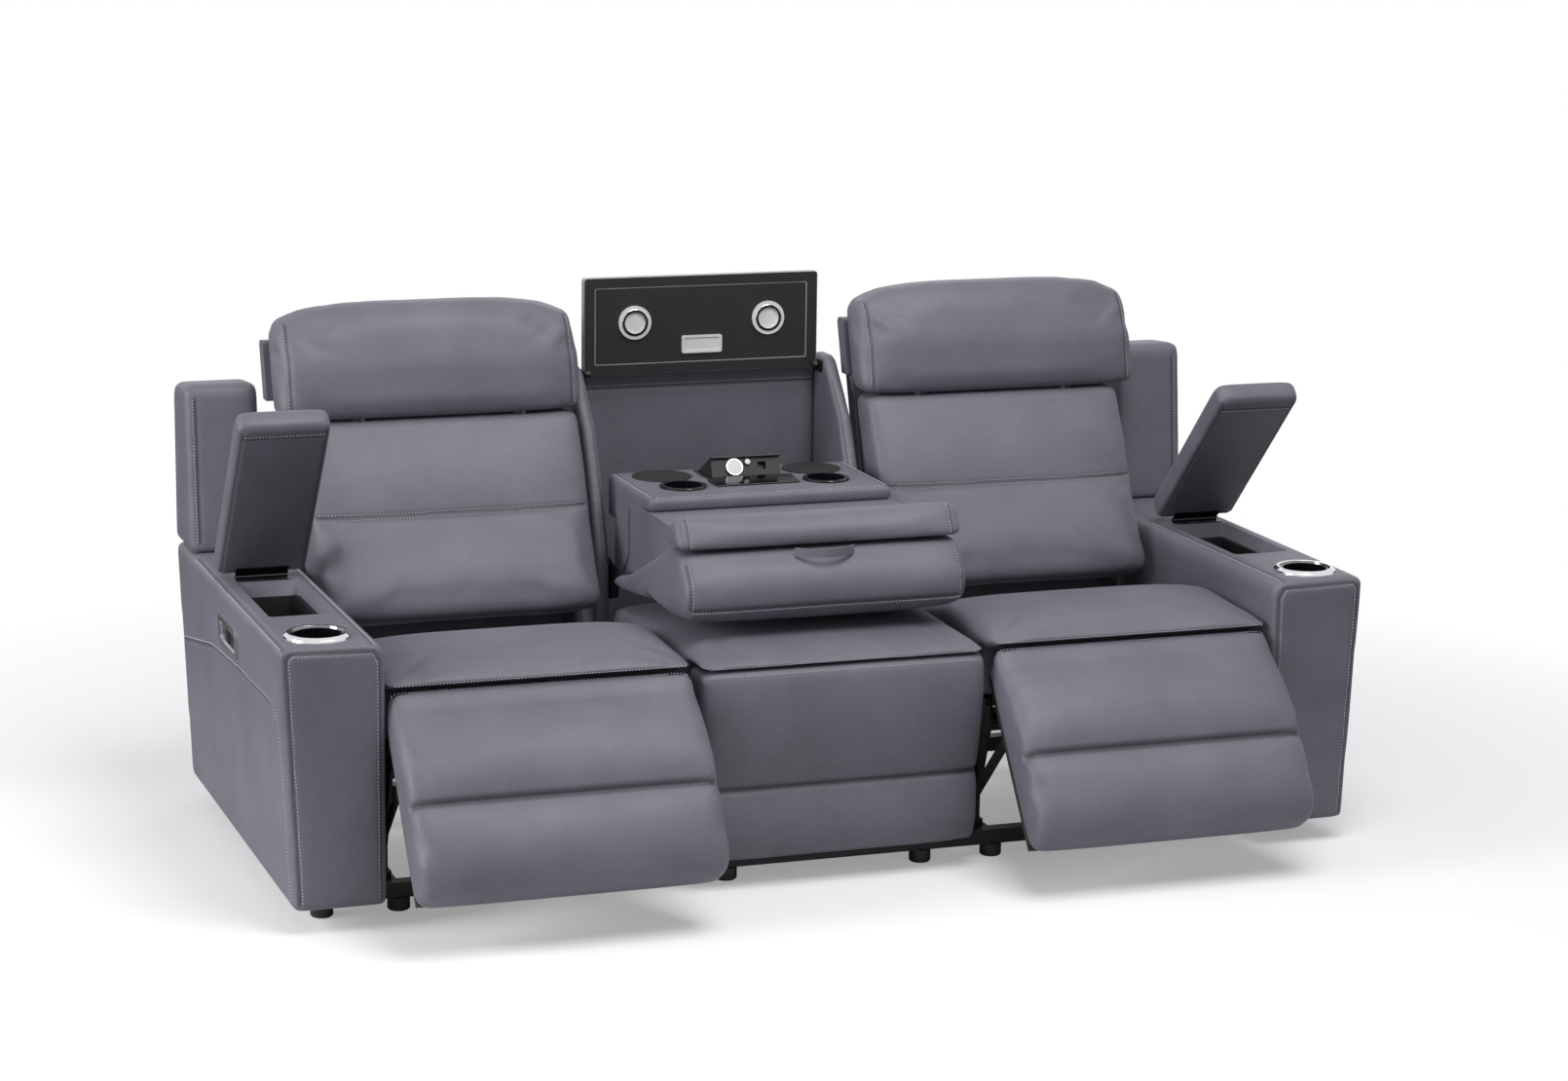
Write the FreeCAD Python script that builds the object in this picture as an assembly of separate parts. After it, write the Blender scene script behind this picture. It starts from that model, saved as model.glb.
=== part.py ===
import FreeCAD, Part
import math
import os

from FreeCAD import Vector

# Three-seat power sofa with a drop-down centre console, in millimetres.
# X is to the right, Y to the back and Z up. The origin is on the floor, under
# the middle of the sofa with its footrests part open. Setbacks are distances
# behind the plane of the arm fronts, and lie along Y.

# Overall
overall_width = 2240.0
front_y = -393.5
arm_depth = 1025.0
arm_width = 204.0
arm_top_z = 556.0
arm_lean = 24.0
underside_z = 45.0
foot_height = 26.0
soft_gap = 5.0
seat_clearance = 0.3
pin_clearance = 0.08

# Bays for the three seats
centre_half = 297.0
seat_inner_x = 313.0
seat_side_gap = 4.0

# Arms
arm_round_inner = 28.0
arm_round_outer = 12.0
arm_front_round = 16.0
recess_centre_inset = 101.0
recess_width = 124.0
recess_setback = 262.0
recess_length = 306.0
recess_depth = 32.0
recess_corner = 10.0
bin_margin = 7.0
bin_depth = 104.0
bin_wall = 3.0
bin_corner = 8.0
bin_inner_corner = 1.5
well_corner = 0.5
cup_setback = 87.0
cup_inset = 93.0
cup_radius = 47.0
cup_wall = 2.5
cup_depth = 84.0
cup_flange_radius = 61.0
cup_flange_height = 5.0
ring_outer_radius = 64.5
ring_height = 9.0

# Arm lids
lid_hinge_setback = 601.0
lid_hinge_rise = 5.0
lid_length = 437.0
lid_thickness = 54.0
lid_outer_inset = 3.0
lid_width = 182.0
left_lid_open = 53.0
right_lid_open = 46.0
hinge_pin_length = 106.0
hinge_barrel_radius = 4.0
leaf_thickness = 2.0
leaf_depth = 24.0

# Side controls
control_setback = 482.0
control_z = 470.0
control_length = 168.0
control_height = 62.0
control_proud = 5.0
control_depth = 14.0
control_pocket_margin = 6.0
control_pocket_corner = 14.0
pocket_band_margin = 3.0
rocker_length = 34.0
rocker_height = 26.0
rocker_offsets = (-46.0, 0.0)
rocker_pin_radius = 1.5
rocker_pin_depth = 5.2
usb_offset = 46.0

# Wings
wing_width = 154.0
wing_setback = 858.0
wing_lean = 40.0
wing_top_z = 903.0
wing_round = 20.0

# Footrests, drawn closed and turned to the rest pose
hinge_setback = 22.0
hinge_z = 434.0
nose_radius = 22.0
pad_back = 50.0
pad_drop = 400.0
pad_crease_drop = 226.0
board_thickness = 12.0
footrest_rest = 36.5
hinge_knuckle_half = 8.0
hinge_knuckle_radius = 9.0
hinge_pin_radius = 4.0
hinge_arm_thickness = 5.0
hinge_slot_drop = 126.0
lug_back = 76.0
lug_drop = 150.0
lug_pin_radius = 5.0
link_thickness = 5.0
link_half_width = 12.0

# Recliner chassis
plate_inner_x = 345.0
plate_thickness = 6.0
crank_setback = 197.0
crank_z = 262.0
crank_radius = 11.0
deck_z = 318.0
deck_thickness = 15.0
runner_width = 20.0
runner_height = 10.0
cross_bar = 30.0
cross_bar_z = 140.0
cross_bar_setbacks = (380.0, 610.0)
deck_overhang = 15.0
deck_rear = 500.0
window_front = 190.0
window_rear = 60.0
window_margin = 30.0
window_round = 30.0

# Base frame
rail_size = 30.0
front_rail_setback = 108.0
rear_rail_setback = 930.0
centre_rail_x = 206.0
inner_foot_offset = 15.0
outer_foot_offset = 16.0
arm_foot_inset = 102.0
post_setbacks = (112.0, 560.0)
centre_deck_setbacks = (110.0, 620.0)
stay_x = 286.5
stay_size = 32.0
stay_lead = 24.0
foot_radius = 22.0
foot_chamfer = 3.0

# Recliner backs
recline_setback = 673.0
recline_z = 335.0
recline_pin_radius = 8.0
shell_lean = 17.0
shell_ref_setback = 853.0
shell_ref_z = 835.0
shell_thickness = 36.0
shell_top_z = 985.0
shell_bottom_z = 366.0
shell_ear_width = 18.0
shell_wide_z = 866.0
shell_side_gap = 10.5
shell_shoulder = 39.0
shell_inner_reach = 1.0
lumbar_bottom_z = 446.0
crease_setback = 770.0
crease_z = 838.0
headrest_shoulder = 34.0
headrest_inner_reach = 2.0
headrest_arm_offset = 170.0
headrest_arch_z = 1080.0
headrest_corner_z = 1040.0
headrest_pin_radius = 4.0

# Centre section
cheek_inner_x = 270.0
cheek_thickness = 33.0
cheek_top_z = 905.0
wall_setback = 948.0
wall_thickness = 35.0
wall_bottom_z = 300.0
wall_top_z = 878.0
console_pivot_setback = 670.0
console_pivot_z = 488.0
console_pin_radius = 8.0
console_half = 262.0
console_top_z = 703.0
console_core_z = 674.0
console_front_setback = 454.0
console_rear_setback = 748.0
console_skirt_z = 612.0
core_rear_setback = 650.0
drop_cushion_half = 295.0
roll_half = 299.0
round_pad_x = 165.0
round_pad_gap = 6.0
round_pad_radius = 62.0
round_pad_sink = 2.0
console_cup_x = 156.0
console_cup_setback = 563.0
console_cup_radius = 39.0
console_cup_depth = 68.0
console_ring_radius = 49.0
strip_half = 90.0
strip_setback = 540.0
strip_depth = 62.0
popup_half = 75.0
popup_front_setback = 610.0
popup_length = 104.0
popup_depth = 46.0
popup_rest = 28.0
popup_clearance = 1.5

# Light panel
panel_half = 261.0
panel_hinge_setback = 916.0
panel_hinge_z = 884.0
panel_front_setback = 920.0
panel_thickness = 18.0
panel_bottom_z = 880.0
panel_top_z = 1086.0
lamp_x = 150.0
lamp_z = 990.0
lamp_radius = 36.0
dome_z = 939.0
dome_half_width = 45.0
dome_half_height = 19.0

arm_inner_x = overall_width / 2 - arm_width
arm_cup_floor_z = arm_top_z - cup_depth - cup_wall - seat_clearance
arm_cup_bore = cup_radius + seat_clearance
control_pocket_length = control_length - 2 * control_pocket_margin
control_pocket_height = control_height - 2 * control_pocket_margin
pocket_band = control_pocket_height - 2 * (control_pocket_corner + pocket_band_margin)
bay_middle_x = (seat_inner_x + arm_inner_x) / 2
plate_outer_x = 2 * bay_middle_x - plate_inner_x
lip_z = hinge_z + nose_radius + soft_gap
frame_front = hinge_setback + pad_back + board_thickness + 2 * soft_gap
lid_hinge_z = arm_top_z + lid_hinge_rise
chassis_low_z = foot_height + rail_size + seat_clearance
shell_half_lower = (arm_inner_x - seat_inner_x) / 2 - shell_side_gap
shell_outer_x = arm_inner_x + shell_shoulder
shell_inner_x = seat_inner_x + shell_inner_reach
headrest_outer_x = arm_inner_x + headrest_shoulder
headrest_inner_x = seat_inner_x - headrest_inner_reach
round_pad_setback = console_cup_setback + console_ring_radius + round_pad_radius + round_pad_gap
feet_x = (centre_rail_x, plate_inner_x + inner_foot_offset, plate_outer_x - outer_foot_offset,
          overall_width / 2 - arm_foot_inset)
foot_setbacks = (front_rail_setback + rail_size / 2, rear_rail_setback + rail_size / 2)
crown_power = 6.0
crown_stations = (0.0, 0.02, 0.06, 0.14, 0.28, 0.5, 0.72, 0.86, 0.94, 0.98, 1.0)


def at(setback):
    return front_y + setback


def block(x0, x1, s0, s1, z0, z1):
    return Part.makeBox(x1 - x0, s1 - s0, z1 - z0, Vector(x0, at(s0), z0))


def rod_x(x0, x1, setback, z, radius):
    return Part.makeCylinder(radius, x1 - x0, Vector(x0, at(setback), z), Vector(1, 0, 0))


def rod_z(x, setback, z0, z1, radius):
    return Part.makeCylinder(radius, z1 - z0, Vector(x, at(setback), z0))


def side_plane(x):
    return lambda u, v: Vector(x, at(u), v)


def front_plane(setback):
    return lambda u, v: Vector(u, at(setback), v)


def floor_plane(z):
    return lambda u, v: Vector(u, at(v), z)


def outline(corners, place):
    """A closed wire through corners (u, v, radius), each rounded by its radius."""
    count = len(corners)
    arcs = []
    for index, (u, v, radius) in enumerate(corners):
        before = corners[index - 1]
        after = corners[(index + 1) % count]
        du0, dv0 = before[0] - u, before[1] - v
        du1, dv1 = after[0] - u, after[1] - v
        length0, length1 = math.hypot(du0, dv0), math.hypot(du1, dv1)
        du0, dv0, du1, dv1 = du0 / length0, dv0 / length0, du1 / length1, dv1 / length1
        half = math.acos(max(-1.0, min(1.0, du0 * du1 + dv0 * dv1))) / 2
        run = radius / max(math.tan(half), 1e-9)
        run = min(run, 0.47 * min(length0, length1))
        if radius == 0:
            arcs.append(((u, v), None, (u, v)))
            continue
        radius = run * math.tan(half)
        bu, bv = du0 + du1, dv0 + dv1
        size = max(math.hypot(bu, bv), 1e-9)
        reach = radius / math.sin(half) - radius
        middle = (u + bu / size * reach, v + bv / size * reach)
        arcs.append(((u + du0 * run, v + dv0 * run), middle, (u + du1 * run, v + dv1 * run)))
    edges = []
    for index, (start, middle, end) in enumerate(arcs):
        if middle:
            chord = ((start[0] + end[0]) / 2, (start[1] + end[1]) / 2)
            bulge = math.hypot(middle[0] - chord[0], middle[1] - chord[1])
            if bulge > 0.02:
                edges.append(Part.Arc(place(*start), place(*middle), place(*end)).toShape())
            else:
                edges.append(Part.LineSegment(place(*start), place(*end)).toShape())
        follow = arcs[(index + 1) % count][0]
        edges.append(Part.LineSegment(place(*end), place(*follow)).toShape())
    return Part.Wire(edges)


def side_solid(corners, x0, x1):
    """A solid with one side outline (setback, z, radius), from x0 to x1."""
    return Part.Face(outline(corners, side_plane(x0))).extrude(Vector(x1 - x0, 0, 0))


def front_solid(corners, s0, s1):
    return Part.Face(outline(corners, front_plane(s0))).extrude(Vector(0, s1 - s0, 0))


def floor_solid(corners, z0, z1):
    return Part.Face(outline(corners, floor_plane(z0))).extrude(Vector(0, 0, z1 - z0))


def rounded_rectangle(u0, u1, v0, v1, radius):
    return [(u0, v0, radius), (u1, v0, radius), (u1, v1, radius), (u0, v1, radius)]


def pad(x0, x1, corners, power=crown_power):
    """A cushion lofted along X. Each corner is (setback, z) at the ends, (setback, z)
    in the middle, and a radius, so that the ends are drawn in and the middle is crowned."""
    wires = []
    for part in crown_stations:
        crown = 1 - abs(2 * part - 1) ** power
        section = []
        for end_s, end_z, mid_s, mid_z, radius in corners:
            section.append((end_s + (mid_s - end_s) * crown, end_z + (mid_z - end_z) * crown, radius))
        wires.append(outline(section, side_plane(x0 + (x1 - x0) * part)))
    return Part.makeLoft(wires, True, True)


def turned(shape, setback, z, degrees):
    """The shape turned about an axis along X, front end up where degrees is positive."""
    copy = shape.copy()
    copy.rotate(Vector(0, at(setback), z), Vector(-1, 0, 0), degrees)
    return copy


def mirrored(shape):
    return shape.mirror(Vector(0, 0, 0), Vector(1, 0, 0))


def arm():
    """One arm on the right, with its storage recess, bin well and cup hole. It is built up
    from touching blocks, as a boarded and padded frame is."""
    outer = overall_width / 2
    section = [
        (arm_inner_x, underside_z, 4.0), (outer - arm_lean, underside_z, 8.0),
        (outer, arm_top_z, arm_round_outer), (arm_inner_x, arm_top_z, arm_round_inner),
    ]
    body = front_solid(section, 0.0, arm_depth)
    front_edges = [e for e in body.Edges
                   if abs(e.BoundBox.YMax - front_y) < 0.1 and e.BoundBox.ZMax > arm_top_z - 40]
    body = body.makeFillet(min(arm_front_round, arm_round_outer - 1), front_edges)
    centre = outer - recess_centre_inset
    half = recess_width / 2
    recess = floor_solid(rounded_rectangle(centre - half, centre + half, recess_setback,
                                           recess_setback + recess_length, recess_corner),
                         arm_top_z - recess_depth, arm_top_z + 1)
    well = bin_outline(centre, 0.0, arm_top_z - recess_depth - bin_depth, arm_top_z, well_corner)
    cup = rod_z(outer - cup_inset, cup_setback, arm_cup_floor_z, arm_top_z + 1, arm_cup_bore)
    body = body.cut(recess).cut(well).cut(cup).cut(control_pocket())
    return divided(body, arm_blocks(centre))


def divided(shape, cells):
    """The shape as touching solids, one or more in each box cell."""
    parts = [shape.common(block(*cell)) for cell in cells]
    return Part.makeCompound([solid for part in parts for solid in part.Solids])


def arm_blocks(centre):
    """The cells of an arm's blocks, which meet at the walls of its openings."""
    inner, outer = arm_inner_x - 1, overall_width / 2 + 1
    front, rear = -1.0, arm_depth + 1
    low, top = underside_z - 1, arm_top_z + 1
    ledge_z = arm_top_z - recess_depth
    well_z = ledge_z - bin_depth
    cup_end = 2 * cup_setback
    well_front = recess_setback + bin_margin
    recess_front = recess_setback + recess_corner
    recess_end = recess_setback + recess_length - recess_corner
    pocket_front = control_setback - control_pocket_length / 2
    pocket_end = control_setback + control_pocket_length / 2
    band_low, band_high = control_z - pocket_band / 2, control_z + pocket_band / 2
    cells = [
        (inner, outer, front, rear, low, well_z),
        (inner, outer, front, cup_end, well_z, arm_cup_floor_z),
        (inner, outer, cup_end, well_front, well_z, ledge_z),
        (inner, outer, cup_end, recess_front, ledge_z, top),
        (inner, centre, well_front, pocket_end, well_z, ledge_z),
        (inner, centre, recess_front, recess_end, ledge_z, top),
        (centre, outer, recess_front, recess_end, ledge_z, top),
        (centre, outer, well_front, pocket_end, well_z, band_low),
        (centre, outer, well_front, pocket_end, band_high, ledge_z),
        (centre, outer, well_front, pocket_front, band_low, band_high),
        (centre, outer, pocket_front, pocket_end, band_low, band_high),
        (inner, outer, pocket_end, rear, well_z, ledge_z),
        (inner, outer, recess_end, rear, ledge_z, top),
    ]
    cup_x = overall_width / 2 - cup_inset
    reach = arm_cup_bore * math.sin(math.radians(22.5))
    columns = (inner, cup_x - reach, cup_x + reach, outer)
    rows = (front, cup_setback - reach, cup_setback + reach, cup_end)
    for x0, x1 in zip(columns, columns[1:]):
        for s0, s1 in zip(rows, rows[1:]):
            cells.append((x0, x1, s0, s1, arm_cup_floor_z, top))
    return cells


def bin_outline(centre, inset, z0, z1, radius):
    margin = bin_margin + inset
    half = recess_width / 2 - margin
    return floor_solid(rounded_rectangle(centre - half, centre + half, recess_setback + margin,
                                         recess_setback + recess_length - margin, radius), z0, z1)


def arm_bin():
    """The black tray that lines the bin well, with a rim on the recess floor: a bottom
    and four walls."""
    centre = overall_width / 2 - recess_centre_inset
    top = arm_top_z - recess_depth
    bottom = top - bin_depth + bin_wall
    outer = bin_outline(centre, seat_clearance, top - bin_depth + seat_clearance, top, bin_corner)
    rim = bin_outline(centre, -4.0, top, top + 2, bin_corner)
    hollow = bin_outline(centre, bin_wall, bottom, top + 3, bin_inner_corner)
    tray = outer.fuse(rim).cut(hollow)
    x0, x1 = arm_inner_x, overall_width / 2
    s0, s1 = recess_setback, recess_setback + recess_length
    wall = bin_margin + bin_wall + bin_inner_corner
    return divided(tray, [
        (x0, x1, s0, s1, top - bin_depth, bottom),
        (x0, x1, s0, s0 + wall, bottom, arm_top_z),
        (x0, x1, s1 - wall, s1, bottom, arm_top_z),
        (x0, centre, s0 + wall, s1 - wall, bottom, arm_top_z),
        (centre, x1, s0 + wall, s1 - wall, bottom, arm_top_z),
    ])


def cup_holder():
    x = overall_width / 2 - cup_inset
    bottom = arm_top_z - cup_depth - cup_wall
    cup = rod_z(x, cup_setback, bottom, arm_top_z, cup_radius)
    flange = rod_z(x, cup_setback, arm_top_z, arm_top_z + cup_flange_height, cup_flange_radius)
    hollow = rod_z(x, cup_setback, bottom + cup_wall, arm_top_z + 20, cup_radius - cup_wall)
    return cup.fuse(flange).cut(hollow)


def cup_ring():
    """The bright ring round the cup's flange, a sloped band."""
    x = overall_width / 2 - cup_inset
    inner = cup_flange_radius - 9
    profile = [
        (cup_flange_radius + seat_clearance, arm_top_z, 0.0), (ring_outer_radius, arm_top_z, 0.0),
        (ring_outer_radius - 1.0, arm_top_z + 4.0, 1.0), (inner + 5, arm_top_z + ring_height, 1.0),
        (inner, arm_top_z + ring_height - 1, 0.5), (inner, arm_top_z + cup_flange_height, 0.0),
        (cup_flange_radius + seat_clearance, arm_top_z + cup_flange_height, 0.0),
    ]
    place = lambda u, v: Vector(x + u, at(cup_setback), v)
    face = Part.Face(outline(profile, place))
    return face.revolve(Vector(x, at(cup_setback), 0), Vector(0, 0, 1), 360)


def outer_face_x(z):
    """X of the arm's leaning outer face at a height."""
    share = (z - underside_z) / (arm_top_z - underside_z)
    return overall_width / 2 - arm_lean * (1 - share)


def control_turn(shape):
    """Lean a piece drawn upright at the control's place to follow the arm's outer face."""
    angle = math.degrees(math.atan2(arm_lean, arm_top_z - underside_z))
    shape.rotate(Vector(outer_face_x(control_z), 0, control_z), Vector(0, 1, 0), angle)
    return shape


def control_block(length, height, depth0, depth1, radius, offset=0.0):
    """A rounded block on the arm's outer face, from depth0 to depth1 out of that face."""
    face_x = outer_face_x(control_z)
    centre = control_setback + offset
    place = lambda u, v: Vector(face_x + depth0, at(u), v)
    corners = rounded_rectangle(centre - length / 2, centre + length / 2,
                                control_z - height / 2, control_z + height / 2, radius)
    solid = Part.Face(outline(corners, place)).extrude(Vector(depth1 - depth0, 0, 0))
    return control_turn(solid)


def control_pocket():
    return control_block(control_pocket_length, control_pocket_height,
                         -control_depth - seat_clearance, 30.0, control_pocket_corner)


def control_panel():
    """The bezel with wells for two rockers and a charging socket."""
    plate = control_block(control_length, control_height, seat_clearance, control_proud, 20.0)
    body = control_block(control_length - 13, control_height - 13, -control_depth, 1.0, 13.5)
    panel = plate.fuse(body)
    dish = control_block(control_length - 26, control_height - 22, 1.5, control_proud + 5, 10.0)
    panel = panel.cut(dish)
    for offset in rocker_offsets:
        well = control_block(rocker_length + 2, rocker_height + 2, -9.5, control_proud + 5, 5.0, offset)
        panel = panel.cut(well).fuse(rocker_pin(offset, rocker_pin_radius, rocker_height / 2 + 1.5))
    usb = control_block(15.0, 7.0, -8.0, control_proud + 5, 1.0, usb_offset)
    return panel.cut(usb)


def rocker_pin(offset, radius, reach):
    """A rocker's pivot pin, upright in its well in the bezel."""
    start = Vector(outer_face_x(control_z) - rocker_pin_depth, at(control_setback + offset),
                   control_z - reach)
    return control_turn(Part.makeCylinder(radius, 2 * reach, start))


def rocker(offset):
    """A rocker cap and the stem that is bored for its pivot pin."""
    cap = control_block(rocker_length, rocker_height, -3.0, 3.6, 4.0, offset)
    stem = control_block(8.0, rocker_height - 6, -7.5, -2.5, 2.0, offset)
    return cap.fuse(stem).cut(rocker_pin(offset, rocker_pin_radius + pin_clearance, rocker_height))


def lid(open_angle):
    """The padded lid, drawn closed and turned up about its hinge."""
    outer = overall_width / 2 - lid_outer_inset
    underside = lid_hinge_z + leaf_thickness
    front = lid_hinge_setback - lid_length
    back = lid_hinge_setback - hinge_barrel_radius - 1.0
    corners = [
        (back, underside, back, underside, 4.0),
        (front + 12, underside, front + 4, underside, 16.0),
        (front + 6, underside + lid_thickness - 8, front, underside + lid_thickness - 4, 22.0),
        (front + 40, underside + lid_thickness - 4, front + 40, underside + lid_thickness + 3, 60.0),
        (back, underside + lid_thickness - 6, back, underside + lid_thickness, 18.0),
    ]
    soft = pad(outer - lid_width, outer, corners, 8.0)
    return turned(soft, lid_hinge_setback, lid_hinge_z, open_angle)


def hinge_x():
    return overall_width / 2 - lid_outer_inset - lid_width / 2


def knuckles(first, step):
    """The barrel lengths of one leaf: every other fifth of the pin."""
    length = hinge_pin_length / 5
    pieces = []
    for index in range(first, 5, step):
        x0 = hinge_x() - hinge_pin_length / 2 + index * length + 0.4
        pieces.append((x0, x0 + length - 0.8))
    return pieces


def hinge_leaf(moving, open_angle):
    """A hinge leaf. The fixed one lies on the arm and holds the pin."""
    half = hinge_pin_length / 2
    pin_radius = hinge_barrel_radius / 2
    z0 = lid_hinge_z if moving else arm_top_z
    near = lid_hinge_setback - hinge_barrel_radius - 0.8
    leaf = block(hinge_x() - half, hinge_x() + half, lid_hinge_setback - leaf_depth, near,
                 z0, z0 + leaf_thickness)
    for x0, x1 in knuckles(1 if moving else 0, 2):
        barrel = rod_x(x0, x1, lid_hinge_setback, lid_hinge_z, hinge_barrel_radius)
        web = block(x0, x1, near - 4, lid_hinge_setback, z0, z0 + leaf_thickness)
        leaf = leaf.fuse(barrel).fuse(web)
    if moving:
        leaf = leaf.cut(rod_x(hinge_x() - half, hinge_x() + half, lid_hinge_setback, lid_hinge_z,
                              pin_radius + pin_clearance))
        return turned(leaf, lid_hinge_setback, lid_hinge_z, open_angle)
    return leaf.fuse(rod_x(hinge_x() - half, hinge_x() + half, lid_hinge_setback, lid_hinge_z,
                           pin_radius))


def wing():
    """The fixed side wing that stands on the rear of the arm."""
    outer = overall_width / 2
    bottom = arm_top_z
    side = [
        (wing_setback, bottom, 2.0), (wing_setback + wing_lean, wing_top_z, 24.0),
        (arm_depth, wing_top_z - 12, 24.0), (arm_depth, bottom, 2.0),
    ]
    body = side_solid(side, outer - wing_width, outer)
    mask = front_solid([(outer - wing_width, bottom, 0.0), (outer, bottom, 0.0),
                        (outer - 4, wing_top_z - 6, wing_round), (outer - wing_width, wing_top_z, 8.0)],
                       wing_setback - 10, arm_depth + 10)
    return body.common(mask)


def seat_cushion():
    """A recliner's seat, with a lip that reaches over the footrest's nose."""
    nose_back = hinge_setback + nose_radius + soft_gap
    rear = 500.0
    base = deck_z + deck_thickness + seat_clearance
    shelf_z = hinge_z + soft_gap + 2
    corners = [
        (12, lip_z, 4, lip_z, 4.0), (10, lip_z + 11, 0, lip_z + 16, 10.0),
        (58, lip_z + 20, 55, lip_z + 32, 60.0), (290, lip_z + 26, 290, lip_z + 40, 300.0),
        (rear - 14, 440, rear - 8, 446, 50.0), (rear - 8, base, rear, base, 12.0),
        (frame_front + 4, base, frame_front, base, 12.0),
        (frame_front + 4, shelf_z, frame_front, shelf_z, 20.0),
        (nose_back + 4, shelf_z, nose_back + 4, shelf_z, 10.0),
        (nose_back - 4, lip_z, nose_back - 4, lip_z, 10.0),
    ]
    return pad(seat_inner_x, arm_inner_x - seat_side_gap, corners)


def footrest_point(back, drop):
    """A point of the closed footrest, from its hinge axis: back is rearward."""
    return hinge_setback + back, hinge_z - drop


def footrest_pad():
    """The footrest's pad with its crease, drawn closed and turned to the rest pose."""
    shape = [
        (-nose_radius + 3, 26, -nose_radius, 24, 20.0), (-nose_radius, 0, -nose_radius, -1, 20.0),
        (-10, -nose_radius, -10, -nose_radius, 12.0), (6, -nose_radius + 2, 6, -nose_radius + 2, 12.0),
        (24, 3, 24, 3, 10.0), (pad_back, 3, pad_back, 3, 4.0),
        (pad_back, pad_drop - 4, pad_back, pad_drop, 12.0),
        (-22, pad_drop - 4, -28, pad_drop, 22.0),
        (-50, 350, -62, 350, 50.0), (-58, 270, -72, 268, 30.0),
        (-56, pad_crease_drop + 8, -60, pad_crease_drop + 6, 7.0),
        (-54, pad_crease_drop, -56, pad_crease_drop, 3.0),
        (-56, pad_crease_drop - 8, -62, pad_crease_drop - 8, 7.0),
        (-60, 176, -74, 176, 40.0), (-44, 92, -62, 92, 80.0),
    ]
    corners = []
    for end_back, end_drop, mid_back, mid_drop, radius in shape:
        end = footrest_point(end_back, end_drop)
        mid = footrest_point(mid_back, mid_drop)
        corners.append((end[0], end[1], mid[0], mid[1], radius))
    soft = pad(seat_inner_x, arm_inner_x - seat_side_gap, corners)
    for x in (plate_inner_x, plate_outer_x):
        soft = soft.cut(hinge_slot(x - hinge_knuckle_half - soft_gap,
                                   x + hinge_knuckle_half + hinge_arm_thickness + soft_gap))
    return turned(soft, hinge_setback, hinge_z, footrest_rest)


def hinge_slot(x0, x1):
    """Room in the closed footrest for its hinge knuckle and the chassis arm behind it."""
    front = hinge_setback - hinge_knuckle_radius - soft_gap
    return block(x0, x1, front, frame_front, hinge_z - hinge_slot_drop, hinge_z + nose_radius + 5)


def link_planes():
    """X ranges of the crank links and of the coupler links, outside each side plate."""
    cranks = []
    couplers = []
    for x, out in ((plate_inner_x, -1), (plate_outer_x, 1)):
        near = x + out * (plate_thickness / 2 + 2)
        mid = near + out * link_thickness
        far = mid + out * (1 + link_thickness)
        cranks.append((min(near, mid), max(near, mid)))
        couplers.append((min(mid + out, far), max(mid + out, far)))
    return cranks, couplers


def footrest_board():
    """The board behind the pad, with lugs and pins for the coupler links."""
    front = hinge_setback + pad_back + seat_clearance
    back = front + board_thickness
    board = block(seat_inner_x + 8, arm_inner_x - 12, front, back,
                  hinge_z - pad_drop + 16, hinge_z - 14)
    _, couplers = link_planes()
    pin_s, pin_z = footrest_point(lug_back, lug_drop)
    for x0, x1 in couplers:
        inward = 1 if x0 > bay_middle_x else -1
        near = x0 - 1 if inward > 0 else x1 + 1
        lug0, lug1 = sorted((near, near - inward * link_thickness))
        lug = side_solid([(front + 2, pin_z - 26, 2.0), (pin_s + 4, pin_z - 11, 8.0),
                          (pin_s + 10, pin_z + 8, 8.0), (front + 2, pin_z + 26, 2.0)], lug0, lug1)
        pin = rod_x(min(lug0, x0), max(lug1, x1), pin_s, pin_z, lug_pin_radius)
        board = board.fuse(lug).fuse(pin)
    for x in (plate_inner_x, plate_outer_x):
        x0, x1 = x - hinge_knuckle_half, x + hinge_knuckle_half
        board = board.cut(hinge_slot(x1, x1 + hinge_arm_thickness + 3))
        knuckle = rod_x(x0, x1, hinge_setback, hinge_z, hinge_knuckle_radius)
        strap = block(x0, x1, hinge_setback, back, hinge_z - 9, hinge_z - 1)
        tab = block(x0, x1, front, back, hinge_z - 20, hinge_z - 1)
        board = board.fuse(knuckle).fuse(strap).fuse(tab)
        board = board.cut(rod_x(x0 - 1, x1 + 1, hinge_setback, hinge_z, hinge_pin_radius + pin_clearance))
    return turned(board, hinge_setback, hinge_z, footrest_rest)


def footrest_turn(setback, z):
    """Where a point of the closed footrest lies in the rest pose."""
    angle = math.radians(footrest_rest)
    return (setback * math.cos(angle) + z * math.sin(angle),
            -setback * math.sin(angle) + z * math.cos(angle))


def crank_pin():
    dy, dz = footrest_turn(lug_back, -lug_drop)
    return crank_setback + dy, crank_z + dz


def drive_links():
    """The torque tube across the chassis with a crank at each end."""
    cranks, _ = link_planes()
    end_s, end_z = crank_pin()
    solid = rod_x(cranks[0][0], cranks[1][1], crank_setback, crank_z, crank_radius)
    for x0, x1 in cranks:
        solid = solid.fuse(link_bar(x0, x1, crank_setback, crank_z, end_s, end_z, crank_radius + 3))
        solid = solid.cut(rod_x(x0 - 1, x1 + 1, end_s, end_z, lug_pin_radius + pin_clearance))
    return solid


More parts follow.
